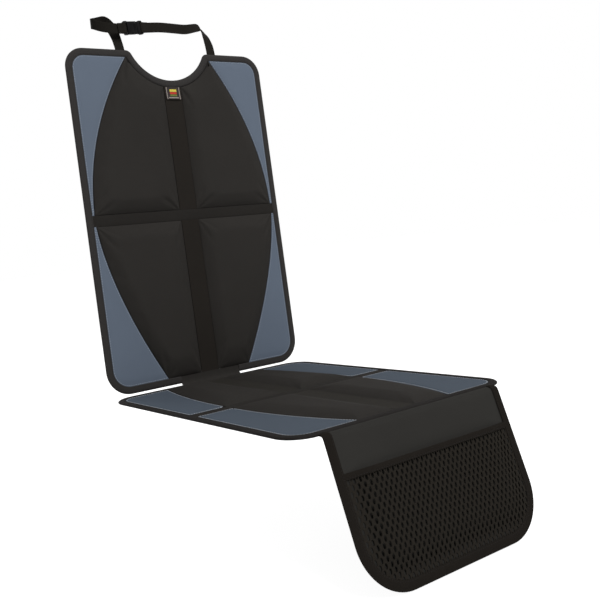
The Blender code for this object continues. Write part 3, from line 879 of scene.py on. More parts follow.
@dataclass(frozen=True)
class Stamp:
    """A small shape that is repeated over a piece, such as a stitch or a grip dot.

    Attributes:
        length: its size along the run.
        width: its size across.
        height: its size out of the cloth.
        sides: how many sides it has.
    """

    length: float
    width: float
    height: float
    sides: int = 6

    def repeat(self, name: str, places: Sequence[Matrix]) -> bpy.types.Object:
        """One mesh with a copy of the shape at each place.

        Args:
            name: the piece's name.
            places: the frame of each copy.

        Returns:
            The piece.
        """
        start()
        bpy.ops.mesh.primitive_uv_sphere_add(segments=self.sides, ring_count=4, radius=0.5)
        piece = bpy.context.object
        piece.name = name
        size = Matrix.Diagonal((self.length, self.width, self.height, 1))
        corners = [size @ v.co for v in piece.data.vertices]
        faces = [tuple(face.vertices) for face in piece.data.polygons]
        points, polygons = [], []
        for place in places:
            first = len(points)
            points.extend(place @ corner for corner in corners)
            polygons.extend(tuple(first + index for index in face) for face in faces)
        mesh = bpy.data.meshes.new(name)
        mesh.from_pydata(points, [], polygons)
        piece.data = mesh
        mesh.shade_smooth()
        return piece

    def along(self, route: Sequence[Station], gap: float) -> list[Matrix]:
        """Places for stitches end to end along a route.

        Args:
            route: points of the seam with the direction out of the cloth at each.
            gap: the distance between two stitches.

        Returns:
            The frame of each stitch.
        """
        places = []
        walked, target = 0.0, self.length / 2
        for (point, out), (after, _) in zip(route, route[1:]):
            run = after - point
            if run.length == 0:
                continue
            step = run.normalized()
            while walked + run.length >= target:
                centre = point + step * (target - walked)
                side = out.cross(step).normalized()
                turn = Matrix((step, side, step.cross(side))).transposed().to_4x4()
                places.append(Matrix.Translation(centre) @ turn)
                target += self.length + gap
            walked += run.length
        return places


STITCH = Stamp(0.0034, 0.00075, 0.0006)
PATCH_STITCH = Stamp(0.0036, 0.0010, 0.0008)
STITCH_GAP = 0.0011
GRIP_DOT = Stamp(0.0034, 0.0034, 0.0010, 8)

# Columns that are tried for a grip dot or a cell of the net, from the middle outwards
COLUMNS = range(-24, 25)


def sew(
    name: str,
    route: Sequence[Station],
    matrix: Matrix,
    material: bpy.types.Material,
    slot: Slot,
    stamp: Stamp = STITCH,
) -> None:
    """Stitch along a route.

    Args:
        name: the name of the stitches.
        route: points of the seam with the direction out of the cloth at each.
        matrix: the place of the route's frame.
        material: the thread's finish.
        slot: the record's slot for it.
        stamp: the shape of a stitch.
    """
    dress(stamp.repeat(name, stamp.along(route, STITCH_GAP)), matrix, material, slot)


def bezier(points: Sequence[Vector], share: float) -> Vector:
    """A point of a cubic curve, from its ends and the two points between them that pull it."""
    begin, first, second, end = points
    rest = 1 - share
    point = begin * rest**3 + first * 3 * rest**2 * share
    return point + second * 3 * rest * share**2 + end * share**3


def arc(
    centre: Flat, radius: float, begin: float, end: float, steps: int, inward: bool = False
) -> list[Station]:
    """Stations round an arc.

    Args:
        centre: the middle of the arc.
        radius: its radius.
        begin: its first angle in degrees.
        end: its last angle.
        steps: how many steps it takes.
        inward: whether its outer side faces the middle.

    Returns:
        The points with their outward directions.
    """
    stations = []
    for step in range(steps + 1):
        angle = math.radians(begin + (end - begin) * step / steps)
        out = Vector((math.cos(angle), math.sin(angle), 0))
        point = Vector((*centre, 0)) + out * radius
        stations.append((point, -out if inward else out))
    return stations


def join_runs(runs: Sequence[Sequence[Station]], spacing: float) -> list[Station]:
    """Join arcs into one route, with points put in on the straight runs between them.

    Args:
        runs: the arcs, in order.
        spacing: the longest step on a straight run.

    Returns:
        The whole route.
    """
    route: list[Station] = []
    for run in runs:
        if route:
            (last, out), (first, _) = route[-1], run[0]
            steps = int((first - last).length / spacing) + 1
            for step in range(1, steps):
                route.append((last.lerp(first, step / steps), out))
            if (first - last).length < 1e-6:
                run = run[1:]
        route.extend(run)
    return route


def distances(points: Sequence[Vector]) -> list[float]:
    """The distance walked to each point."""
    walked = [0.0]
    for before, after in zip(points, points[1:]):
        walked.append(walked[-1] + (after - before).length)
    return walked


def folded_tape(
    name: str,
    route: Sequence[Station],
    section: Sequence[Flat],
    place: Callable[[float, float, float], Vector],
    pucker: float,
) -> bpy.types.Object:
    """A tape folded over an edge.

    Args:
        name: the piece's name.
        route: the edge, with its outward directions, on the flat cloth.
        section: the fold as distances in from the edge and heights.
        place: gives a point from its distances across and along the flat cloth and its height.
        pucker: how far the seam draws the tape up and down.

    Returns:
        The tape.
    """
    rows, columns = len(route) - 1, len(section) - 1
    walked = distances([point for point, _ in route])
    spread = distances([Vector((inset, height, 0)) for inset, height in section])

    def put(across: float, along: float) -> Vector:
        row = round(along * rows)
        point, out = route[row]
        inset, height = section[round(across * columns)]
        flat = point - out * inset
        wave = math.sin(walked[row] * math.tau / PUCKER_PITCH) + math.sin(walked[row] * PUCKER_DRIFT)
        held = min(inset / BINDING_WIDTH, 1.0)
        return place(flat.x, flat.y, height + pucker * wave * held)

    def flat_place(across: float, along: float) -> Flat:
        return spread[round(across * columns)], walked[round(along * rows)]

    return thicken(grid(name, columns, rows, put, flat_place), TAPE)


# The panels


@dataclass(frozen=True)
class PadShape:
    """One raised pad on its panel.

    Attributes:
        name: the CAD node that it replaces.
        side: which half of the panel it is on.
        low: where it starts along the panel.
        high: where it ends along the panel.
        scooped: whether the neckline cuts its far end.
    """

    name: str
    side: Side
    low: float
    high: float
    scooped: bool


@dataclass(frozen=True)
class PadSoftness:
    """How the pads of a panel rise from their edges before they swell.

    Attributes:
        height: how far they stand above the lining.
        start: the share of that height at their edges.
        valley: the same share beside the channel.
        channel: how far from the channel they reach their height.
        seam: how far from the curved seam.
        band: how far from the flat band.
        tongue: how far from the end by the tongue.
        far: how far from the other end.
        slack: how gently they start to rise, from 0.5 for a round edge to 1 for a soft one.
    """

    height: float
    start: float
    valley: float
    channel: float
    seam: float
    band: float
    tongue: float
    far: float
    slack: float

    def rise(self, reaches: Sequence[tuple[float, float, float]]) -> float:
        """The height at a point.

        Args:
            reaches: for each edge, the distance from it, the distance over which the pad rises there and
                the share of the height at which it starts.

        Returns:
            The height above the lining.
        """
        share = 1.0
        for distance, reach, start in reaches:
            inside = min(max(distance / reach, 0.0), 1.0)
            share *= start + (1 - start) * (1 - (1 - inside) ** 2) ** self.slack
        return self.height * max(share, self.valley)


@dataclass
class Panel:
    """A bound, padded panel in its own frame: x across, y away from the tongue, z out of its padded face.

    Attributes:
        name: the start of its nodes' names.
        length: its length.
        near_corner: the radius of the corners by the tongue.
        far_corner: the radius of the other two corners.
        band: the width of the flat band between its pads.
        pad_middle: half the padded width at the middle.
        pad_near: half the padded width by the tongue.
        pad_far: half the padded width at the far end.
        near_power: how the seam curves on the tongue's side.
        far_power: how it curves on the far side.
        places: the names of the near and the far half.
        neck: whether it has a neckline.
        sides: the names of its low and high side.
        tip: the radius of the patches' corners at the band.
        softness: how its pads round off.
        matrix: its place.
        wardrobe: the finishes.
        patch_finish: the finish of its patches.
        channel_finish: the finish of its channel.
        tape_finish: the finish of its binding.
        thread_finish: the finish of the stitches round its patches.
        puff: how far its patches puff up.
        patch_margin: the room between the curved seam and a patch.
        stitch_inset: how far its stitches lie inside a patch's edge.
        cell: the size of the backing's cells.
        draw: how far from a seam the backing is drawn in.
        hollow: how deep a seam draws it.
        dot_pitch: the distance between two grip dots.
    """

    name: str
    length: float
    near_corner: float
    far_corner: float
    band: float
    pad_middle: float
    pad_near: float
    pad_far: float
    near_power: float
    far_power: float
    places: tuple[str, str]
    neck: bool
    sides: Mapping[Side, str]
    tip: float
    softness: PadSoftness
    matrix: Matrix
    wardrobe: Wardrobe
    patch_finish: bpy.types.Material
    channel_finish: bpy.types.Material
    tape_finish: bpy.types.Material
    thread_finish: bpy.types.Material
    puff: float = 0.0009
    patch_margin: float = 0.0004
    stitch_inset: float = 0.0018
    cell: float = 0.0056
    draw: float = 0.0045
    hollow: float = 0.0009
    dot_pitch: float = 0.0130

    @property
    def middle(self) -> float:
        """The distance from the tongue to the panel's middle."""
        return self.length / 2

    @property
    def band_low(self) -> float:
        """Where the flat band starts."""
        return self.middle - self.band / 2

    @property
    def band_high(self) -> float:
        """Where the flat band ends."""
        return self.middle + self.band / 2

    def half_width(self, along: float) -> float:
        """Half the width of the padded centre at a distance from the tongue."""
        share = abs(along - self.middle) / (self.middle - BINDING_WIDTH)
        if along < self.middle:
            return self.pad_middle - (self.pad_middle - self.pad_near) * share**self.near_power
        return self.pad_middle - (self.pad_middle - self.pad_far) * share**self.far_power

    def place(self, across: float, along: float, height: float) -> Vector:
        """A point of the panel's own frame."""
        return Vector((across, along, height))

    def build(self) -> None:
        """Make every piece of the panel but its pads."""
        self.dress_core()
        self.build_backing()
        for side in Side:
            for far in (False, True):
                self.build_patch(side, far)
                self.sew_patch(side, far)
        self.build_cross_band()
        self.build_channels()
        self.build_binding()

    def dress_core(self) -> None:
        """Finish the lining, which only its seams show."""
        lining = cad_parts[f"{self.name}_foam_lining"]
        lining.data.materials.clear()
        lining.data.materials.append(self.wardrobe.foam)

    def quilting(self, across: float, along: float) -> float:
        """How deep the seams draw the backing in, from 0 between them to 1 on them."""
        reaches = [
            abs(abs(across) - CHANNEL_HALF),
            abs(along - self.band_low),
            abs(along - self.band_high),
            abs(abs(across) - self.half_width(along)),
        ]
        return math.exp(-((min(reaches) / self.draw) ** 2))

    def build_backing(self) -> None:
        """Make the non-slip cloth underneath, drawn in along the seams, with its grip dots."""
        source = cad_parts[f"{self.name}_backing"]
        shape = bmesh.new()
        shape.from_mesh(source.data)
        shape.transform(self.matrix.inverted())
        bmesh.ops.remove_doubles(shape, verts=shape.verts, dist=1e-6)
        bmesh.ops.dissolve_limit(shape, angle_limit=0.01, verts=shape.verts, edges=shape.edges)
        for axis, reach in ((0, MAT_WIDTH / 2), (1, self.length)):
            low = -reach if axis == 0 else 0.0
            plane = Vector((1, 0, 0)) if axis == 0 else Vector((0, 1, 0))
            for step in range(1, int((reach - low) / self.cell)):
                cut = shape.verts[:] + shape.edges[:] + shape.faces[:]
                level = plane * (low + self.cell * step)
                bmesh.ops.bisect_plane(shape, geom=cut, plane_co=level, plane_no=plane)
        for vertex in shape.verts:
            if vertex.co.z < BACKING / 2:
                vertex.co.z += self.hollow * (self.quilting(vertex.co.x, vertex.co.y) - 0.5)
        mesh = bpy.data.meshes.new(f"{self.name}_backing_cloth")
        shape.to_mesh(mesh)
        shape.free()
        piece = link(mesh.name, mesh)
        smooth(piece, 40)
        dress(piece, self.matrix, self.wardrobe.grip, Slot.GRIP, [source.name])
        self.print_dots()
        self.sew_backing()

    def print_dots(self) -> None:
        """Print the rows of grip dots."""
        places = []
        for row in range(int(self.length / self.dot_pitch * 2)):
            along = BINDING_WIDTH + 0.006 + row * self.dot_pitch / 2
            for column in COLUMNS:
                across = (column + 0.5 * (row % 2)) * self.dot_pitch
                drawn = self.quilting(across, along)
                if drawn < 0.5 and self.on_backing(across, along):
                    places.append(Matrix.Translation((across, along, self.hollow * (drawn - 0.5))))
        dots = GRIP_DOT.repeat(f"{self.name}_grip_dots", places)
        dress(dots, self.matrix, self.wardrobe.dots, Slot.GRIP)

    def sew_backing(self) -> None:
        """Stitch along the seams that hold the pads, as they show on the backing."""
        out = Vector((0, 0, -1))
        inset = BINDING_WIDTH + 0.001
        top = (NECK_CENTRE - NECK_RADIUS if self.neck else self.length) - inset
        places = []
        for side in (-1, 1):
            lines = [[Vector((side * CHANNEL_HALF, along, 0)) for along in (inset, top)]]
            reach = MAT_WIDTH / 2 - inset
            for level in (self.band_low, self.band_high):
                lines.append([Vector((0, level, 0)), Vector((side * reach, level, 0))])
            steps = int((self.length - 2 * inset) / 0.004)
            curve = []
            for step in range(steps + 1):
                along = inset + (self.length - 2 * inset) * step / steps
                curve.append(Vector((side * self.half_width(along), along, 0)))
            lines.append(curve)
            for line in lines:
                lift = Vector((0, 0, self.hollow / 2 - 0.0001))
                places += STITCH.along([(point + lift, out) for point in line], STITCH_GAP)
        stitches = STITCH.repeat(f"{self.name}_quilting_stitches", places)
        dress(stitches, self.matrix, self.wardrobe.dark_thread, Slot.GRIP)

    def on_backing(self, across: float, along: float) -> bool:
        """Whether a grip dot fits on the backing inside the binding."""
        margin = BINDING_WIDTH + 0.005
        if abs(across) > MAT_WIDTH / 2 - margin or not margin < along < self.length - margin:
            return False
        corners = ((self.near_corner, self.near_corner), (self.far_corner, self.length - self.far_corner))
        for radius, level in corners:
            beyond = along < level if radius == level else along > level
            reach = math.hypot(abs(across) - MAT_WIDTH / 2 + radius, along - level)
            if beyond and abs(across) > MAT_WIDTH / 2 - radius and reach > radius - margin:
                return False
        return not (self.neck and math.hypot(across, along - NECK_CENTRE) < NECK_RADIUS + margin)

    def outer_edge(self, along: float, inset: float) -> float:
        """How far the panel reaches sideways at a distance from the tongue."""
        half = MAT_WIDTH / 2
        for radius, over in (
            (self.near_corner, self.near_corner - along),
            (self.far_corner, along - self.length + self.far_corner),
        ):
            if over > 0:
                return half - radius + math.sqrt(max((radius - inset) ** 2 - over**2, 0.0))
        return half - inset

    def build_patch(self, side: Side, far: bool) -> None:
        """Make the coloured cloth of one corner.

        Args:
            side: which side it is on.
            far: whether it is at the far end.
        """
        inset = BINDING_WIDTH - TUCK
        low = self.band_high + GAP if far else inset
        high = self.length - inset if far else self.band_low - GAP
        corner = self.far_corner if far else self.near_corner

        def along_at(share: float) -> float:
            share = share if far else 1 - share
            turned = math.sin(share * math.pi / 2) * 0.35 + share * 0.65
            return low + (high - low) * (turned if far else 1 - turned)

        def put(across: float, along: float) -> Vector:
            reach = along_at(along)
            inner = self.patch_inner(reach, far)
            outer = self.outer_edge(reach, inset)
            x = inner + (outer - inner) * across
            return Vector((side.value * x, reach, self.patch_top(x, reach, far) - CLOTH / 2))

        place = self.places[1 if far else 0]
        name = f"{self.name}_patch_{place}_{self.sides[side]}"
        rows = int((high - low) / 0.006)
        piece = grid(f"{name}_cloth", 24, rows, put)
        area = sum(face.area for face in piece.data.polygons)
        thicken(piece, CLOTH)
        smooth(piece, 60)
        dress(piece, self.matrix, self.patch_finish, Slot.PATCH, [name])
        levels = (low, high, low + corner, high - corner)
        reach = max(self.outer_edge(level, inset) - self.half_width(level) for level in levels)
        flat = (reach, high - low)
        area = min(area, flat[0] * flat[1])

    def patch_inner(self, along: float, far: bool) -> float:
        """Where a patch starts across the panel, with its corner at the band rounded.

        Args:
            along: the distance from the tongue.
            far: whether the patch is at the far end.

        Returns:
            The distance from the panel's middle line.
        """
        depth = along - self.band_high if far else self.band_low - along
        rounding = 0.0
        if depth < self.tip:
            rounding = self.tip - math.sqrt(max(self.tip**2 - (self.tip - max(depth, 0.0)) ** 2, 0.0))
        return self.half_width(along) + self.patch_margin + rounding

    def patch_top(self, across: float, along: float, far: bool) -> float:
        """The height of a patch's face, which is flat round its seams and puffed inside them.

        Args:
            across: the distance from the panel's middle line.
            along: the distance from the tongue.
            far: whether the patch is at the far end.

        Returns:
            The height.
        """
        inner = self.half_width(along) + self.patch_margin
        outer = self.outer_edge(along, BINDING_WIDTH)
        ends = (BINDING_WIDTH, self.band_low) if not far else (self.band_high, self.length - BINDING_WIDTH)
        crown = min((outer - inner) / 0.05, 1.0) if outer > inner else 0.0
        flat = self.stitch_inset + 0.0006
        for edge in (across - inner, outer - across, along - ends[0], ends[1] - along):
            crown *= math.sqrt(ease((edge - flat) / 0.010))
        dip = CLOTH * 0.7 * (1 - ease((across - inner) / 0.0018))
        return CLOTH_HIGH + self.puff * crown - dip

    def sew_patch(self, side: Side, far: bool) -> None:
        """Stitch a patch down all round.

        Args:
            side: which side it is on.
            far: whether it is at the far end.
        """
        inset = self.stitch_inset
        low = self.band_high + inset if far else BINDING_WIDTH + inset
        high = self.length - BINDING_WIDTH - inset if far else self.band_low - inset
        inner, outer = [], []
        steps = int((high - low) / 0.0015)
        for step in range(steps + 1):
            along = low + (high - low) * step / steps
            reaches = (self.patch_inner(along, far) + inset, self.outer_edge(along, BINDING_WIDTH + inset))
            for across, line in zip(reaches, (inner, outer)):
                height = self.patch_top(across, along, far) + 0.0001
                if reaches[1] > reaches[0]:
                    line.append(Vector((side.value * across, along, height)))
        ring = inner + outer[::-1] + inner[:1]
        route = [(point, Vector((0, 0, 1))) for point in ring]
        place = self.places[1 if far else 0]
        name = f"{self.name}_seam_{place}_{self.sides[side]}"
        sew(name, route, self.matrix, self.thread_finish, Slot.PATCH, PATCH_STITCH)

    def build_cross_band(self) -> None:
        """Make the flat band between the near and the far pads."""
        half = MAT_WIDTH / 2 - BINDING_WIDTH + TUCK

        def put(across: float, along: float) -> Vector:
            x = half * (2 * across - 1)
            y = self.band_low + self.band * along
            crown = math.sin(math.pi * along) ** 0.5 if 0 < along < 1 else 0.0
            inside = ease((half - abs(x)) / 0.02)
            return Vector((x, y, CLOTH_HIGH - CLOTH / 2 + 0.0007 * crown * inside - 0.0002))

        name = f"{self.name}_cross_band"
        piece = thicken(grid(f"{name}_cloth", 70, 10, put), CLOTH)
        smooth(piece, 60)
        dress(piece, self.matrix, self.wardrobe.band, Slot.FACE, [name])

    def build_channels(self) -> None:
        """Make the two strips of cloth down the middle, which rise to the pads beside them."""
        far_end = (NECK_CENTRE - NECK_RADIUS if self.neck else self.length) - BINDING_WIDTH + TUCK
        spans = ((BINDING_WIDTH - GAP, self.band_low - GAP), (self.band_high + GAP, far_end))
        half = CHANNEL_HALF - GAP
        for place, (low, high) in zip(self.places, spans):

            def put(across: float, along: float, low: float = low, high: float = high) -> Vector:
                x = half * (2 * across - 1)
                y = low + (high - low) * along
                rise = 0.0003 * abs(x / half) ** 4
                rise *= ease((y - low) / 0.012)
                rise *= ease((high - 0.008 - y) / 0.012)
                return Vector((x, y, CLOTH_HIGH - CLOTH / 2 + rise))

            name = f"{self.name}_channel_{place}"
            piece = thicken(grid(f"{name}_cloth", 20, int((high - low) / 0.008), put), CLOTH)
            smooth(piece, 60)
            dress(piece, self.matrix, self.channel_finish, Slot.CHANNEL, [name])
            high - low

    def edge_route(self) -> list[Station]:
        """The panel's edge from one side of the tongue round to the other."""
        half, near, far, length = MAT_WIDTH / 2, self.near_corner, self.far_corner, self.length
        begin = Vector((TONGUE_WIDTH / 2 + GAP, 0, 0))
        runs = [
            [(begin, Vector((0, -1, 0)))],
            arc((half - near, near), near, 270, 360, 14),
            arc((half - far, length - far), far, 0, 90, 14),
        ]
        if self.neck:
            level = length - SHOULDER_RADIUS
            drop = NECK_CENTRE - level
            across = math.sqrt((NECK_RADIUS + SHOULDER_RADIUS) ** 2 - drop**2)
            slope = math.degrees(math.atan2(drop, across))
            runs.append(arc((across, level), SHOULDER_RADIUS, 90, 180 - slope, 10))
            runs.append(arc((0, NECK_CENTRE), NECK_RADIUS, -slope, slope - 180, 44, inward=True))
            runs.append(arc((-across, level), SHOULDER_RADIUS, slope, 90, 10))
        runs.append(arc((far - half, length - far), far, 90, 180, 14))
        runs.append(arc((near - half, near), near, 180, 270, 14))
        runs.append([(Vector((-begin.x, 0, 0)), Vector((0, -1, 0)))])
        return join_runs(runs, 0.006)

    def build_binding(self) -> None:
        """Fold the tape round the edge and stitch it down on both faces."""
        high = EDGE_HEIGHT
        section = [
            (0.0140, high - 0.0007),
            (0.0134, high - 0.0003),
            (0.0115, high + 0.0001),
            (0.0080, high + 0.0003),
            (0.0045, high + 0.0002),
            (0.0020, high - 0.0003),
            (0.0006, high - 0.0012),
            (0.0001, high / 2),
            (0.0006, 0.0012),
            (0.0020, 0.0004),
            (0.0060, 0.0001),
            (0.0110, 0.0001),
            (0.0140, 0.0003),
        ]
        route = self.edge_route()
        name = f"{self.name}_binding"
        tape = folded_tape(f"{name}_tape", route, section, self.place, 0.00008)
        smooth(tape, 60)
        dress(tape, self.matrix, self.tape_finish, Slot.BINDING, [name])
        for face, height, out in (("front", high + 0.00035, 1), ("rear", -0.0001, -1)):
            line = [(p - o * BINDING_SEAM + Vector((0, 0, height)), Vector((0, 0, out))) for p, o in route]
            sew(f"{name}_{face}_stitches", line, self.matrix, self.wardrobe.dark_thread, Slot.BINDING)

    def pad_shapes(self) -> list[PadShape]:
        """The four pads."""
        shapes = []
        for side in Side:
            near, far = (f"{self.name}_pad_{place}_{self.sides[side]}" for place in self.places)
            far_end = self.length - BINDING_WIDTH - 0.001
            shapes.append(PadShape(near, side, BINDING_WIDTH - GAP, self.band_low - GAP, False))
            shapes.append(PadShape(far, side, self.band_high + GAP, far_end, self.neck))
        return shapes

    def pad_end(self, shape: PadShape, share: float) -> float:
        """Where a pad ends along the panel, at a share of the way across it.

        Args:
            shape: the pad.
            share: 0 at the channel and 1 at the curved seam.

        Returns:
            The distance from the tongue.
        """
        if not shape.scooped:
            return shape.high
        end = shape.high - 0.02
        for _ in range(12):
            across = CHANNEL_HALF + (self.half_width(end) - SEAM_GAP - CHANNEL_HALF) * share
            end = min(NECK_CENTRE - math.sqrt(max(PAD_SCOOP**2 - across**2, 0.0)), shape.high)
        return end

    def pad_blank(self, shape: PadShape) -> bpy.types.Object:
        """The closed, flat-bottomed blank of one pad, before it swells.

        Args:
            shape: the pad.

        Returns:
            The blank, in the panel's frame.
        """
        columns, rows = 34, int((shape.high - shape.low) / 0.0055)
        base = CLOTH_LOW + GAP
        ends = [self.pad_end(shape, crowd(column / columns)) for column in range(columns + 1)]
        soft = self.softness
        near = shape.low < self.middle

        def put(across: float, along: float) -> Vector:
            end = ends[round(across * columns)]
            y = shape.low + (end - shape.low) * crowd(along)
            inner, outer = CHANNEL_HALF + PAD_GAP, self.half_width(y) - SEAM_GAP
            x = inner + (outer - inner) * crowd(across)
            to_end = shape.high - y
            if shape.scooped:
                to_end = min(to_end, math.hypot(x, NECK_CENTRE - y) - PAD_SCOOP)
            rise = soft.rise(
                [
                    (x - inner, soft.channel, soft.valley),
                    (outer - x, soft.seam, soft.start),
                    (y - shape.low, soft.tongue if near else soft.band, soft.start),
                    (to_end, soft.band if near else soft.far, soft.start),
                ]
            )
            return Vector((shape.side.value * x, y, base + rise))

        blank = grid(f"{shape.name}_cover", columns, rows, put)
        take(blank)
        bpy.ops.object.mode_set(mode="EDIT")
        bpy.ops.mesh.select_all(action="SELECT")
        bpy.ops.mesh.extrude_region_move()
        bpy.ops.object.mode_set(mode="OBJECT")
        for vertex in blank.data.vertices:
            if vertex.select:
                vertex.co.z = base
        take(blank)
        bpy.ops.object.mode_set(mode="EDIT")
        bpy.ops.mesh.select_all(action="SELECT")
        bpy.ops.mesh.normals_make_consistent(inside=False)
        bpy.ops.object.mode_set(mode="OBJECT")
        return blank

    def finish_pad(self, shape: PadShape, blank: bpy.types.Object) -> None:
        """Smooth a swollen pad and put it in its place.

        Args:
            shape: the pad.
            blank: its swollen blank.
        """
        rounding = blank.modifiers.new("rounding", "SUBSURF")
        rounding.levels = rounding.render_levels = 1
        apply_modifiers(blank)
        smooth(blank, 80)
        dress(blank, self.matrix, self.wardrobe.face, Slot.FACE, [shape.name])


@dataclass(frozen=True)
class Swelling:
    """Swells closed pads like air-filled cloth that is sewn down underneath.

    Attributes:
        pressure: the pressure inside.
        frames: how long it acts.
        cap: the furthest that a point may move.
    """

    pressure: float = 4.0
    frames: int = 20
    cap: float = 0.0025

    def swell(self, pads: Sequence[bpy.types.Object]) -> None:
        """Swell the pads together, and keep the result in their meshes.

        Args:
            pads: the closed blanks.
        """
        scene = bpy.context.scene
        scene.frame_set(1)
        for pad in pads:
            lowest = min(v.co.z for v in pad.data.vertices)
            sewn = pad.vertex_groups.new(name="sewn")
            sewn.add([v.index for v in pad.data.vertices if v.co.z < lowest + 0.0001], 1.0, "REPLACE")
            cloth = pad.modifiers.new("swelling", "CLOTH")
            cloth.settings.vertex_group_mass = sewn.name
            cloth.settings.use_pressure = True
            cloth.settings.uniform_pressure_force = self.pressure
            cloth.settings.effector_weights.gravity = 0
            cloth.point_cache.frame_start = 1
            cloth.point_cache.frame_end = self.frames
        for number in range(1, self.frames + 1):
            scene.frame_set(number)
        graph = bpy.context.evaluated_depsgraph_get()
        for pad in pads:
            swollen = [v.co.copy() for v in pad.evaluated_get(graph).data.vertices]
            for vertex, target in zip(pad.data.vertices, swollen):
                shift = target - vertex.co
                if shift.length > self.cap:
                    shift = shift.normalized() * self.cap
                vertex.co += shift
            pad.modifiers.clear()
            pad.vertex_groups.clear()
        scene.frame_set(1)


@dataclass
class Tongue:
    """The bent cloth between the two panels.

    Attributes:
        wardrobe: the finishes.
    """

    wardrobe: Wardrobe

    def build(self) -> None:
        """Make the cloth on the curve that its CAD solid follows."""
        begin = Vector((0, SEAT_LENGTH / 2 - BINDING_WIDTH, EDGE_HEIGHT / 2))
        end = BACK_FOOT + BACK_RISE * BINDING_WIDTH
        first = begin + Vector((0, BINDING_WIDTH, 0))
        second = end - BACK_RISE * BINDING_WIDTH

        def put(across: float, along: float) -> Vector:
            centre = bezier((begin, first, second, end), along)
            crease = 0.0004 * math.sin(across * 47) * math.sin(math.pi * along)
            return centre + Vector((TONGUE_WIDTH * (across - 0.5), -crease, crease))

        length = distances([put(0.5, step / 40) for step in range(41)])[-1]
        piece = grid(
            "joining_tongue_cloth", 60, 20, put, lambda across, along: (TONGUE_WIDTH * across, length * along)
        )
        thicken(piece, TONGUE_THICKNESS)
        smooth(piece, 60)
        dress(piece, Matrix.Identity(4), self.wardrobe.face, Slot.FACE, ["joining_tongue"])


@dataclass
class Label:
    """The woven label under the neckline.

    Attributes:
        matrix: the place of the back panel.
        wardrobe: the finishes.
        width: its width.
        length: its length.
        thickness: its thickness.
    """

    matrix: Matrix
    wardrobe: Wardrobe
    width: float = 0.034
    length: float = 0.025
    thickness: float = 0.0008

    def build(self) -> None:
        """Make the label, which lifts a little at its loose lower edge."""
        high = NECK_CENTRE - NECK_RADIUS - BINDING_WIDTH - GAP
        low = high - self.length

        def put(across: float, along: float) -> Vector:
            lift = 0.0016 * (1 - along) ** 2
            bow = 0.0005 * math.sin(math.pi * across)
            x = self.width * (across - 0.5)
            return Vector((x, low + self.length * along, CLOTH_HIGH + GAP + self.thickness / 2 + lift + bow))

        def plane(across: float, along: float) -> Flat:
            return self.width * (across - 0.5), self.length * (along - 0.5)

        piece = thicken(grid("woven_label_cloth", 20, 14, put, plane), self.thickness)
        smooth(piece, 60)
        dress(piece, self.matrix, self.wardrobe.label, Slot.LABEL, ["woven_label"])


@dataclass(frozen=True)
class NetCell:
    """One cell of the net, a diamond of yarn round an oval hole.

    Attributes:
        wide: its width.
        tall: its height.
        hole_wide: half the width of its hole.
        hole_tall: half the height of its hole.
    """

    wide: float = 0.0096
    tall: float = 0.0166
    hole_wide: float = 0.0020
    hole_tall: float = 0.0042

    def diamond(self) -> list[tuple[int, int]]:
        """The points round the cell, in eighths of its width and height, with the second part down."""
        around = []
        for quarter, (turn_x, turn_y) in enumerate(((1, 1), (-1, 1), (-1, -1), (1, -1))):
            for step in range(4):
                long, short = 4 - step, step
                pair = (long, short) if quarter % 2 == 0 else (short, long)
                around.append((turn_x * pair[0], turn_y * pair[1]))
        return around

    def oval(self, share: float) -> list[Flat]:
        """The points round the hole, made larger by a share."""
        angles = [step * math.tau / 16 for step in range(16)]
        return [(share * self.hole_wide * math.cos(a), -share * self.hole_tall * math.sin(a)) for a in angles]


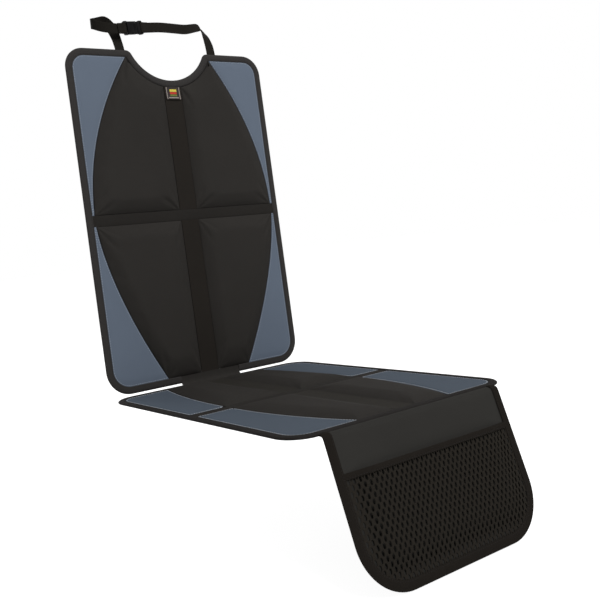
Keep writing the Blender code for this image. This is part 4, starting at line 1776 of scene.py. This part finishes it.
@dataclass
class Flap:
    """The flap that hangs from the seat panel's front edge, with its net pocket.

    Attributes:
        wardrobe: the finishes.
        width: its width.
        length: the length of its straight part.
        lean: its angle from upright.
        corner: the radius of its lower corners.
        tape: the width of its binding.
        cloth: the thickness of its cloth.
        reach: how far in front of the seat panel its bend ends.
        drop: how far below the seat panel its bend ends.
        mouth_drop: the distance from the bend to the pocket's mouth.
        band: the width of the tape over the mouth.
        bulge: how far the slack net stands off.
        bulge_rise: over what distance it does so.
        middle: the height of the cloth's middle above its rear face.
        net_low: the height of the net where it lies flat.
        tucked: how far inside the edge the net ends.
        cell: the shape of the net's cells.
    """

    wardrobe: Wardrobe
    width: float = 0.364
    length: float = 0.221
    lean: float = math.radians(17.8)
    corner: float = 0.078
    tape: float = 0.015
    cloth: float = 0.0016
    reach: float = 0.0107
    drop: float = 0.0053
    mouth_drop: float = 0.050
    band: float = 0.009
    bulge: float = 0.0072
    bulge_rise: float = 0.050
    middle: float = 0.0016
    net_low: float = 0.0027
    tucked: float = 0.003
    cell: NetCell = NetCell()

    def __post_init__(self) -> None:
        """Work out the line that the cloth follows, from the seat's edge down."""
        fall = Vector((0, -math.sin(self.lean), -math.cos(self.lean)))
        knee = Vector((0, -SEAT_LENGTH / 2 - self.reach, EDGE_HEIGHT / 2 - self.drop))
        begin = Vector((0, -SEAT_LENGTH / 2 - GAP, EDGE_HEIGHT / 2))
        first = begin + Vector((0, -self.reach * 0.6, 0))
        second = knee - fall * self.drop
        self.line = [bezier((begin, first, second, knee), step / 24) for step in range(25)]
        self.walked = distances(self.line)
        self.bend = self.walked[-1]
        self.fall = fall

    def place(self, across: float, along: float, height: float) -> Vector:
        """A point of the bent flap.

        Args:
            across: the distance across it.
            along: the distance up from its lower edge, measured on the cloth.
            height: the distance in front of its rear face.

        Returns:
            The point.
        """
        walk = self.length + self.bend - along
        if walk >= self.bend:
            point, step = self.line[-1] + self.fall * (walk - self.bend), self.fall
        else:
            index = max(i for i, way in enumerate(self.walked) if way <= max(walk, 0.0))
            index = min(index, len(self.line) - 2)
            step = (self.line[index + 1] - self.line[index]).normalized()
            point = self.line[index] + step * (walk - self.walked[index])
        face = Vector((0, step.z, -step.y))
        return point + face * (height - self.middle) + Vector((across, 0, 0))

    def edge(self, along: float, inset: float) -> float:
        """How far the flap reaches sideways at a height."""
        over = self.corner - along
        if over <= 0:
            return self.width / 2 - inset
        return self.width / 2 - self.corner + math.sqrt(max((self.corner - inset) ** 2 - over**2, 0.0))

    def stand_off(self, across: float, along: float) -> float:
        """How far the slack pocket stands off the flap."""
        side = (self.width / 2 - self.tape - abs(across)) / self.bulge_rise
        foot = (along - self.tape) / self.bulge_rise
        return self.bulge * ease(side) * ease(foot)

    def build(self) -> None:
        """Make every piece of the flap."""
        self.build_cloth()
        self.build_binding()
        self.build_net()
        self.build_band()

    def build_cloth(self) -> None:
        """Make the flap's cloth."""
        inset = TAPE + GAP
        top = self.length + self.bend

        def along_at(share: float) -> float:
            turned = 0.6 * share + 0.4 * (1 - math.cos(share * math.pi / 2))
            return inset + (top - inset) * turned

        def flat(across: float, along: float) -> Flat:
            up = along_at(along)
            return self.edge(up, inset) * (2 * across - 1), up

        def put(across: float, along: float) -> Vector:
            x, up = flat(across, along)
            wave = 0.0006 * math.sin(x * 31 + 0.8) * ease(up / 0.08) * ease((self.length - up) / 0.04)
            return self.place(x, up, self.middle + wave)

        piece = grid("flap_cloth_sheet", 48, 60, put, flat)
        area = sum(face.area for face in piece.data.polygons)
        thicken(piece, self.cloth)
        smooth(piece, 60)
        dress(piece, Matrix.Identity(4), self.wardrobe.flap, Slot.FACE, ["flap_cloth"])
        size = (self.width - 2 * inset, top - inset)
        min(area, size[0] * size[1])

    def edge_route(self) -> list[Station]:
        """The flap's edge, from the seat down one side, round and up the other."""
        half, top = self.width / 2, self.length + self.bend - 0.0008
        runs = [
            [(Vector((-half, top, 0)), Vector((-1, 0, 0)))],
            arc((self.corner - half, self.corner), self.corner, 180, 270, 20),
            arc((half - self.corner, self.corner), self.corner, 270, 360, 20),
            [(Vector((half, top, 0)), Vector((1, 0, 0)))],
        ]
        return join_runs(runs, 0.003)

    def build_binding(self) -> None:
        """Fold the tape round the flap and stitch it down."""
        high = self.net_low + 0.0011
        section = [
            (self.tape, high - 0.0003),
            (self.tape - 0.0007, high),
            (0.0115, high + 0.0003),
            (0.0075, high + 0.0002),
            (0.0040, high - 0.0002),
            (0.0016, high - 0.0009),
            (0.0003, 0.0026),
            (0.0001, 0.0016),
            (0.0006, 0.0007),
            (0.0020, 0.0003),
            (0.0080, 0.0002),
            (self.tape, 0.0003),
        ]
        route = self.edge_route()
        tape = folded_tape("flap_binding_tape", route, section, self.place, 0.00006)
        smooth(tape, 60)
        dress(tape, Matrix.Identity(4), self.wardrobe.dark_tape, Slot.BINDING, ["flap_binding"])
        for face, height, sign in (("front", high + 0.0004, 1), ("rear", -0.0001, -1)):
            line = []
            for point, out in route:
                flat = point - out * (self.tape - 0.0024)
                base = self.place(flat.x, flat.y, height)
                line.append((base, (self.place(flat.x, flat.y, height + sign) - base).normalized()))
            thread = self.wardrobe.dark_thread
            sew(f"flap_{face}_stitches", line, Matrix.Identity(4), thread, Slot.BINDING)

    def build_net(self) -> None:
        """Knit the pocket's net: staggered upright cells with an oval hole in each."""
        cell = self.cell
        top = self.length - self.mouth_drop - self.band * 0.45
        corners: dict[tuple[int, int], int] = {}
        places: list[Flat] = []
        heights: list[float] = []
        faces = []

        def add(across: float, along: float, lift: float) -> int:
            slack = self.stand_off(across, along)
            places.append((across, along))
            heights.append(self.net_low + 0.00025 + slack + lift * min(slack / 0.001, 1.0))
            return len(places) - 1

        def fits(across: float, along: float) -> bool:
            return along > self.tucked and abs(across) < self.edge(along, self.tucked)

        def corner(column: int, row: int) -> int:
            if (column, row) not in corners:
                corners[(column, row)] = add(column * cell.wide / 8, top - row * cell.tall / 8, 0.0)
            return corners[(column, row)]

        for row in range(int(2 * self.length / cell.tall)):
            for column in COLUMNS:
                middle = (8 * column + 4 * (row % 2), 4 * row + 4)
                across, along = middle[0] * cell.wide / 8, top - middle[1] * cell.tall / 8
                around = [(middle[0] + x, middle[1] + y) for x, y in cell.diamond()]
                if not all(fits(x * cell.wide / 8, top - y * cell.tall / 8) for x, y in around):
                    continue
                rings = [[corner(*point) for point in around]]
                for share, lift in ((1.28, 0.0004), (1.0, -0.0002)):
                    rings.append([add(across + x, along + y, lift) for x, y in cell.oval(share)])
                for outer, inner in zip(rings, rings[1:]):
                    for index in range(16):
                        after = (index + 1) % 16
                        faces.append((outer[index], outer[after], inner[after], inner[index]))
        mesh = bpy.data.meshes.new("mesh_pocket_net")
        mesh.from_pydata([self.place(*p, h) for p, h in zip(places, heights)], [], faces)
        layer = mesh.uv_layers.new(name=CLOTH_MAP)
        for loop in mesh.loops:
            layer.data[loop.index].uv = places[loop.vertex_index]
        piece = link("mesh_pocket_net", mesh)
        thicken(piece, 0.0006)
        smooth(piece, 50)
        dress(piece, Matrix.Identity(4), self.wardrobe.net, Slot.NET, ["mesh_pocket"])
        half = self.width / 2 - self.tape
        size = (2 * half, top - self.tape)
        area = max(0.3 * size[0] * size[1], sum(face.area for face in mesh.polygons) / 2)

    def build_band(self) -> None:
        """Fold the tape over the pocket's mouth."""
        half = self.width / 2 - self.tape + 0.002
        low = self.length - self.mouth_drop - self.band
        section = (
            (0.0000, 0.0008),
            (0.0030, 0.0010),
            (0.0075, 0.0009),
            (0.0088, 0.0004),
            (0.0088, -0.0004),
            (0.0075, -0.0007),
            (0.0000, -0.0006),
        )
        spread = distances([Vector((up, out, 0)) for up, out in section])
        columns = len(section) - 1

        def put(across: float, along: float) -> Vector:
            up, out = section[round(across * columns)]
            x = half * (2 * along - 1)
            base = self.net_low + 0.0006 + self.stand_off(x, low + self.band / 2)
            return self.place(x, low + up, base + out + 0.00005 * math.sin(x * 900))

        def plane(across: float, along: float) -> Flat:
            return spread[round(across * columns)], 2 * half * along

        piece = thicken(grid("pocket_band_tape", columns, 160, put, plane), TAPE * 0.8)
        smooth(piece, 60)
        dress(piece, Matrix.Identity(4), self.wardrobe.dark_tape, Slot.BINDING, ["pocket_band"])
        line = []
        for step in range(161):
            x = (half - 0.003) * (step / 80 - 1)
            height = self.net_low + 0.0018 + self.stand_off(x, low + self.band / 2)
            base = self.place(x, low + 0.0018, height)
            line.append((base, (self.place(x, low + 0.0018, height + 1) - base).normalized()))
        sew("pocket_band_stitches", line, Matrix.Identity(4), self.wardrobe.dark_thread, Slot.BINDING)


@dataclass
class HeadrestStrap:
    """The webbing over the neckline and its side-release buckle.

    Attributes:
        wardrobe: the finishes.
        width: the webbing's width.
        thickness: its thickness.
        spread: the distance between its sewn ends.
        socket_length: the length of the socket's body.
        depth: the thickness of the buckle.
        wall: the thickness of the socket's walls.
        bar: the width of the bar that the webbing wraps.
        bar_depth: the thickness of that bar.
        slot: the width of the slot beside it.
        rim: how far the frame reaches past the webbing.
        corner: the radius of the buckle's corners.
        base: the length of the plug's base.
        plug_thickness: the thickness of its prongs.
        prong: how far they reach into the socket.
        arm: the width of an arm.
        guide: the width of the guide.
        latch: the length of a latch.
        latch_reach: how far it stands out of the arm.
    """

    wardrobe: Wardrobe
    width: float = 0.020
    thickness: float = 0.0012
    spread: float = 0.212
    socket_length: float = 0.0225
    depth: float = 0.009
    wall: float = 0.002
    bar: float = 0.003
    bar_depth: float = 0.005
    slot: float = 0.0038
    rim: float = 0.0035
    corner: float = 0.0025
    base: float = 0.007
    plug_thickness: float = 0.0044
    prong: float = 0.017
    arm: float = 0.003
    guide: float = 0.005
    latch: float = 0.006
    latch_reach: float = 0.0016

    def __post_init__(self) -> None:
        """Work out the frames and the buckle's own sizes."""
        self.frame = Matrix.Translation(BACK_FOOT + BACK_RISE * BACK_LENGTH)
        turn = Matrix.Rotation(math.radians(6.8), 4, "Z") @ Matrix.Rotation(-math.radians(6.8), 4, "Y")
        upright = Matrix.Rotation(math.pi / 2, 4, "X")
        self.buckle = Matrix.Translation((-0.0735, -0.0024, 0.0443)) @ turn @ upright
        self.frame_length = self.bar + self.slot + 2 * GAP
        self.half = (self.socket_length + GAP + self.base + 2 * self.frame_length) / 2
        self.socket_start = self.frame_length - self.half
        self.socket_end = self.socket_start + self.socket_length

    def wrap(self, end: float) -> list[Station]:
        """Stations of the webbing round a bar, from its stitched end out again.

        Args:
            end: the place of the buckle's end along it.

        Returns:
            The stations, each with the direction of the webbing's width.
        """
        outwards = 1 if end > 0 else -1
        round_bar = self.bar_depth / 2 + self.thickness
        turn = self.bar + self.slot / 2
        profile = [
            (0.0135, self.thickness),
            (0.0060, 0.0020),
            (0.0010, round_bar),
            (-self.bar, round_bar),
            (-turn, round_bar / 2),
            (-turn - GAP, 0.0),
            (-turn, -round_bar / 2),
            (-self.bar, -round_bar),
            (0.0010, -round_bar),
            (0.0060, -0.0020),
            (0.0135, -self.thickness),
        ]
        upright = self.buckle.to_3x3() @ Vector((0, 1, 0))
        return [(self.buckle @ Vector((end + outwards * out, 0, depth)), upright) for out, depth in profile]

    @staticmethod
    def route(stations: Sequence[Station], steps: int) -> list[Station]:
        """A smooth curve through the stations.

        Args:
            stations: the points with the direction of the webbing's width.
            steps: how many steps it takes between two stations.

        Returns:
            The finer stations.
        """
        points = [Vector(point) for point, _ in stations]
        widths = [Vector(width).normalized() for _, width in stations]
        last = len(points) - 1
        fine = []
        for index in range(last):
            leave = (points[index + 1] - points[max(index - 1, 0)]) / 2
            arrive = (points[min(index + 2, last)] - points[index]) / 2
            for step in range(steps):
                share = step / steps
                square, cube = share**2, share**3
                point = points[index] * (2 * cube - 3 * square + 1) + leave * (cube - 2 * square + share)
                point += points[index + 1] * (3 * square - 2 * cube) + arrive * (cube - square)
                fine.append((point, widths[index].lerp(widths[index + 1], share).normalized()))
        fine.append((points[-1], widths[-1]))
        return fine

    def build_webbing(self, name: str, stations: Sequence[Station]) -> None:
        """Make one half of the strap.

        Args:
            name: the CAD node that it replaces.
            stations: its route in the strap's frame.
        """
        route = self.route(stations, 8)
        walked = distances([point for point, _ in route])
        rows = len(route) - 1

        def put(across: float, along: float) -> Vector:
            point, width = route[round(along * rows)]
            return point + width * self.width * (across - 0.5)

        def plane(across: float, along: float) -> Flat:
            return self.width * across, walked[round(along * rows)]

        piece = thicken(grid(f"{name}_webbing", 8, rows, put, plane), self.thickness)
        soften(piece, 0.00035, angle=60)
        smooth(piece, 60)
        dress(piece, self.frame, self.wardrobe.webbing, Slot.WEBBING, [name])

    def build(self) -> None:
        """Make the two straps and the two halves of the buckle."""
        self.build_webbing("strap_left", self.left_route())
        self.build_webbing("strap_right", self.right_route())
        self.build_socket()
        self.build_plug()

    def left_route(self) -> list[Station]:
        """From inside the panel's edge, round one loose curl and along to the socket's bar."""
        side = -self.spread / 2
        shares = [
            ((0.024, 0.140, 0.308), (1, -0.1, 0)),
            ((0.049, 0.349, 0.585), (0.9, -0.35, 0.2)),
            ((0.098, 0.605, 0.831), (0.6, -0.5, 0.6)),
            ((0.244, 0.860, 1.000), (0.1, -0.25, 0.95)),
            ((0.610, 1.000, 0.969), (0, 0, 1)),
            ((0.951, 0.814, 0.892), (0, 0, 1)),
            ((1.000, 0.512, 0.815), (0, 0, 1)),
            ((0.780, 0.209, 0.708), (0, 0, 1)),
            ((0.463, 0.000, 0.646), (0, 0, 1)),
        ]
        sewn = Vector((1, 0, 0))
        curl = [(Vector((side, -0.0004, -0.010)), sewn), (Vector((side, 0, GAP)), sewn)]
        for (spread, reach, rise), width in shares:
            curl.append((Vector((side - 0.041 * spread, 0.043 * reach, 0.065 * rise)), Vector(width)))
        return curl + list(reversed(self.wrap(-self.half)))

    def right_route(self) -> list[Station]:
        """From the plug's bar across to the right, then twisted down into the panel's edge."""
        side = self.spread / 2
        wrap = self.wrap(self.half)
        leave = wrap[-1][0]
        bend = Vector((side - 0.016, 0.018, 0.0605))
        run = []
        for share, sag in ((0.25, -0.14), (0.5, 0.43), (0.75, 1)):
            run.append((leave.lerp(bend, share) - Vector((0, 0, 0.0035 * sag)), Vector((0, 0, 1))))
        shares = [
            ((1.000, 1.000, 1.000), (0.1, 0.4, 0.9)),
            ((0.563, 0.917, 0.934), (0.55, 0.75, 0.35)),
            ((0.313, 0.722, 0.810), (0.8, 0.6, 0)),
            ((0.125, 0.500, 0.628), (0.95, 0.3, 0)),
            ((0.000, 0.222, 0.331), (1, 0.05, 0)),
        ]
        fall = []
        for (inset, reach, rise), width in shares:
            fall.append((Vector((side - 0.016 * inset, 0.018 * reach, 0.0605 * rise)), Vector(width)))
        fall.append((Vector((side, 0, GAP)), Vector((1, 0, 0))))
        fall.append((Vector((side, -0.0004, -0.010)), Vector((1, 0, 0))))
        return wrap + run + fall

    def bar_frame(self, name: str, end: float, inwards: int) -> bpy.types.Object:
        """The frame with the bar that the webbing wraps.

        Args:
            name: the piece's name.
            end: the place of its end.
            inwards: the direction to the buckle's middle.

        Returns:
            The frame.
        """
        half = self.width / 2 + self.rim
        begin, stop = sorted((end, end + inwards * (self.frame_length + self.corner)))
        depth = self.bar_depth / 2
        frame_block = block(name, (begin, -half, -depth), (stop, half, depth))
        round_edges(frame_block, 2, self.corner, 5)
        low, high = sorted((end + inwards * self.bar, end + inwards * (self.bar + self.slot)))
        reach = self.width / 2 + 2 * GAP
        slot = block("slot", (low, -reach, -depth - GAP), (high, reach, depth + GAP))
        round_edges(slot, 2, 0.0008, 2)
        merge(frame_block, slot, "DIFFERENCE")
        return frame_block

    def add_body(self, piece: bpy.types.Object, low: Sequence[float], high: Sequence[float]) -> None:
        """Join a rounded body to a buckle half.

        Args:
            piece: the buckle half.
            low: the body's lowest corner.
            high: its highest corner.
        """
        body = block("body", low, high)
        round_edges(body, 2, self.corner, 6)
        soften(body, 0.0011, 3)
        merge(piece, body, "UNION")

    def paint_rim_highlights(self, piece: bpy.types.Object, end: float, inwards: int) -> None:
        """Paint highlights on a buckle half's outer frame, with a pale finish.

        Args:
            piece: the buckle half, in its place.
            end: the place of its end.
            inwards: the direction to the buckle's middle.
        """
        piece.data.materials.append(self.wardrobe.rim)
        back = (self.frame @ self.buckle).inverted()
        for face in piece.data.polygons:
            centre = back @ face.center
            beside = abs(centre.y) > self.width / 2 + GAP
            if beside and (centre.x - end) * inwards < self.frame_length:
                face.material_index = 1

    def build_socket(self) -> None:
        """Make the hollow half, open at its mouth and at its two side windows."""
        piece = self.bar_frame("buckle_socket_shell", -self.half, 1)
        reach = self.width / 2 + self.wall + GAP
        depth = self.depth / 2
        self.add_body(piece, (self.socket_start, -reach, -depth), (self.socket_end, reach, depth))
        clear = self.plug_thickness / 2 + GAP
        inner = self.width / 2
        mouth = (self.socket_end + self.wall, inner, clear)
        cavity = block("cavity", (self.socket_start + self.wall, -inner, -clear), mouth)
        merge(piece, cavity, "DIFFERENCE")
        stop = self.socket_end - self.prong + self.latch + GAP
        window = block("window", (stop - self.latch - 2 * GAP, -2 * reach, -clear), (stop, 2 * reach, clear))
        round_edges(window, 1, 0.0006, 2)
        merge(piece, window, "DIFFERENCE")
        for side in (-1, 1):
            for step in range(3):
                along = self.socket_end - 0.0042 - 0.0022 * step
                level = side * depth
                low, high = (along, -0.0065, level - 0.0005), (along + 0.0009, 0.0065, level + 0.0005)
                merge(piece, block("groove", low, high), "DIFFERENCE")
        soften(piece, 0.00022)
        smooth(piece, 35)
        dress(piece, self.frame @ self.buckle, self.wardrobe.plastic, Slot.BUCKLE, ["buckle_socket"])
        self.paint_rim_highlights(piece, -self.half, 1)

    def build_plug(self) -> None:
        """Make the plug, with its guide and its two latching arms."""
        piece = self.bar_frame("buckle_plug_body", self.half, -1)
        begin = self.socket_end + GAP
        reach = self.width / 2 + self.wall
        depth = self.depth / 2
        self.add_body(piece, (begin, -reach, -depth), (begin + self.base, reach, depth))
        thick = self.plug_thickness / 2
        tip = self.socket_end - self.prong
        outer = self.width / 2 - GAP
        guide = block("guide", (tip, -self.guide / 2, -thick), (begin + self.base / 2, self.guide / 2, thick))
        round_edges(guide, 2, 0.0012, 3)
        merge(piece, guide, "UNION")
        for side in (-1, 1):
            low, high = sorted((side * (outer - self.arm), side * outer))
            arm = block("arm", (tip, low, -thick), (begin + self.base / 2, high, thick))
            merge(piece, arm, "UNION")
            edge = side * (outer + self.latch_reach)
            low, high = sorted((side * (outer - self.arm / 2), edge))
            latch = block("latch", (tip + 0.0012, low, -thick), (tip + self.latch, high, thick))
            round_edges(latch, 2, 0.0011, 4)
            merge(piece, latch, "UNION")
        soften(piece, 0.00022)
        smooth(piece, 35)
        dress(piece, self.frame @ self.buckle, self.wardrobe.plastic, Slot.BUCKLE, ["buckle_plug"])
        self.paint_rim_highlights(piece, self.half, -1)


@dataclass(frozen=True)
class Studio:
    """The camera, the floor and the light.

    Attributes:
        floor_level: the height of the floor.
        front: the power of the light in front.
        rear: the power of the light behind.
        ambient: the strength of the even light from all round.
        glow: how bright the floor shows by itself.
        floor_tone: how much of the light on the floor shows.
        floor_size: the width of the floor.
        matte_tone: how pale the floor is to the object's own light.
        lens: the camera's focal length in millimetres.
        sensor: the width of its sensor in millimetres.
        shift: how far its middle lies off the picture's middle.
        eye: where it stands.
        right: its direction to the right.
        up: its direction up.
        ahead: the direction that it looks in.
    """

    floor_level: float = -0.2160
    front: float = 174.0
    rear: float = 75.0
    ambient: float = 0.22
    glow: float = 0.90
    floor_tone: float = 0.50
    floor_size: float = 60
    matte_tone: float = 0.8
    lens: float = 49.826
    sensor: float = 36.0
    shift: Flat = (0.0667, -0.05)
    eye: Triple = (-0.87281, -1.15539, 0.27125)
    right: Triple = (0.80817, -0.57973, -0.10386)
    up: Triple = (0.10436, -0.0326, 0.99401)
    ahead: Triple = (0.57964, 0.81416, -0.03416)

    def build(self) -> None:
        """Set up all of it."""
        self.place_camera()
        self.lay_floor()
        self.hang_light("front_light", Vector((0.40, -2.90, 3.60)), Vector((0, 0.1, 0.25)), 2.6, self.front)
        self.hang_light("rear_light", Vector((-0.9, 3.8, 0.9)), Vector((0, 0.3, 0.3)), 2.4, self.rear)
        self.light_world()
        bpy.context.scene.view_settings.view_transform = "Standard"

    def place_camera(self) -> None:
        """Stand the camera where the photograph was taken from."""
        data = bpy.data.cameras.new("camera")
        data.lens = self.lens
        data.sensor_width = self.sensor
        data.shift_x, data.shift_y = self.shift
        camera = link("camera", data)
        turn = Matrix((Vector(self.right), Vector(self.up), -Vector(self.ahead))).transposed().to_4x4()
        camera.matrix_world = Matrix.Translation(self.eye) @ turn
        bpy.context.scene.camera = camera

    def lay_floor(self) -> None:
        """Lay a white floor under the object, on which its shadow is faint."""
        start()
        bpy.ops.mesh.primitive_plane_add(size=self.floor_size, location=(0, 0, self.floor_level))
        floor = bpy.context.object
        floor.name = "studio_floor"
        shader = Shader("floor")
        shader.tree.nodes.remove(shader.surface)
        output = shader.tree.nodes["Material Output"]
        seen = shader.field("ShaderNodeLightPath", output="Is Camera Ray")
        matte, dim = (
            shader.field("ShaderNodeBsdfDiffuse", inputs={"Color": (tone, tone, tone, 1)})
            for tone in (self.matte_tone, self.floor_tone)
        )
        glow = shader.field("ShaderNodeEmission", inputs={"Strength": self.glow})
        shown = shader.field("ShaderNodeAddShader", inputs={0: dim, 1: glow})
        surface = shader.field("ShaderNodeMixShader", inputs={0: seen, 1: matte, 2: shown})
        shader.connect(output.inputs["Surface"], surface)
        floor.data.materials.append(shader.material)

    def hang_light(self, name: str, place: Vector, target: Vector, size: float, power: float) -> None:
        """Hang a soft square light.

        Args:
            name: its name.
            place: where it hangs.
            target: what it faces.
            size: its width.
            power: its power in watts.
        """
        data = bpy.data.lights.new(name, "AREA")
        data.size = size
        data.energy = power
        light = link(name, data)
        light.location = place
        light.rotation_euler = (target - place).to_track_quat("-Z", "Y").to_euler()

    def light_world(self) -> None:
        """Light the object evenly from all round, with a white background behind it."""
        world = Shader("studio", world=True)
        bpy.context.scene.world = world.material
        plain, white = (
            world.field("ShaderNodeBackground", inputs={"Color": (1, 1, 1, 1), "Strength": strength})
            for strength in (self.ambient, 1.0)
        )
        camera, through, glossy = (
            world.field("ShaderNodeLightPath", output=f"Is {kind} Ray")
            for kind in ("Camera", "Transmission", "Glossy")
        )
        clamped = {"operation": "ADD", "use_clamp": True}
        shown = world.field("ShaderNodeMath", clamped, {0: camera + through, 1: glossy})
        light = world.field("ShaderNodeMixShader", inputs={0: shown, 1: plain, 2: white})
        world.node("ShaderNodeOutputWorld", inputs={"Surface": light})


def back_panel(wardrobe: Wardrobe) -> Panel:
    """The upright panel with the neckline."""
    turn = Matrix.Rotation(math.pi / 2 - BACK_LEAN, 4, "X")
    return Panel(
        name="back",
        length=BACK_LENGTH,
        near_corner=0.048,
        far_corner=0.040,
        band=0.021,
        pad_middle=0.206,
        pad_near=0.096,
        pad_far=0.097,
        near_power=1.6,
        far_power=2.05,
        places=("lower", "upper"),
        neck=True,
        sides={Side.LOW: "left", Side.HIGH: "right"},
        tip=0.0015,
        softness=PadSoftness(0.0088, 0.10, 0.05, 0.016, 0.020, 0.022, 0.030, 0.018, 0.75),
        matrix=Matrix.Translation(BACK_FOOT) @ turn @ Matrix.Translation((0, 0, -EDGE_HEIGHT / 2)),
        wardrobe=wardrobe,
        patch_finish=wardrobe.patch,
        channel_finish=wardrobe.channel,
        tape_finish=wardrobe.binding,
        thread_finish=wardrobe.pale_thread,
    )


def seat_panel(wardrobe: Wardrobe) -> Panel:
    """The level panel."""
    return Panel(
        name="seat",
        length=SEAT_LENGTH,
        near_corner=0.045,
        far_corner=0.045,
        band=0.024,
        pad_middle=0.141,
        pad_near=0.108,
        pad_far=0.095,
        near_power=2.2,
        far_power=2.2,
        places=("rear", "front"),
        neck=False,
        sides={Side.LOW: "right", Side.HIGH: "left"},
        tip=0.009,
        softness=PadSoftness(0.0064, 0.08, 0.08, 0.024, 0.030, 0.030, 0.038, 0.034, 0.9),
        matrix=Matrix.Translation((0, SEAT_LENGTH / 2, 0)) @ Matrix.Rotation(math.pi, 4, "Z"),
        wardrobe=wardrobe,
        patch_finish=wardrobe.shaded_seat_patch,
        channel_finish=wardrobe.seat_channel,
        tape_finish=wardrobe.seat_tape,
        thread_finish=wardrobe.bright_thread,
    )


def main() -> None:
    """Build the mat and its studio."""
    logging.basicConfig(level=logging.INFO, format="%(name)s %(message)s")
    Studio().build()
    wardrobe = Wardrobe()
    panels = [back_panel(wardrobe), seat_panel(wardrobe)]
    blanks = [(panel, shape, panel.pad_blank(shape)) for panel in panels for shape in panel.pad_shapes()]
    Swelling().swell([blank for _, _, blank in blanks])
    for panel, shape, blank in blanks:
        panel.finish_pad(shape, blank)
    for panel in panels:
        panel.build()
    Label(panels[0].matrix, wardrobe).build()
    Tongue(wardrobe).build()
    Flap(wardrobe).build()
    HeadrestStrap(wardrobe).build()
    start()


if __name__ == "__main__":
    main()
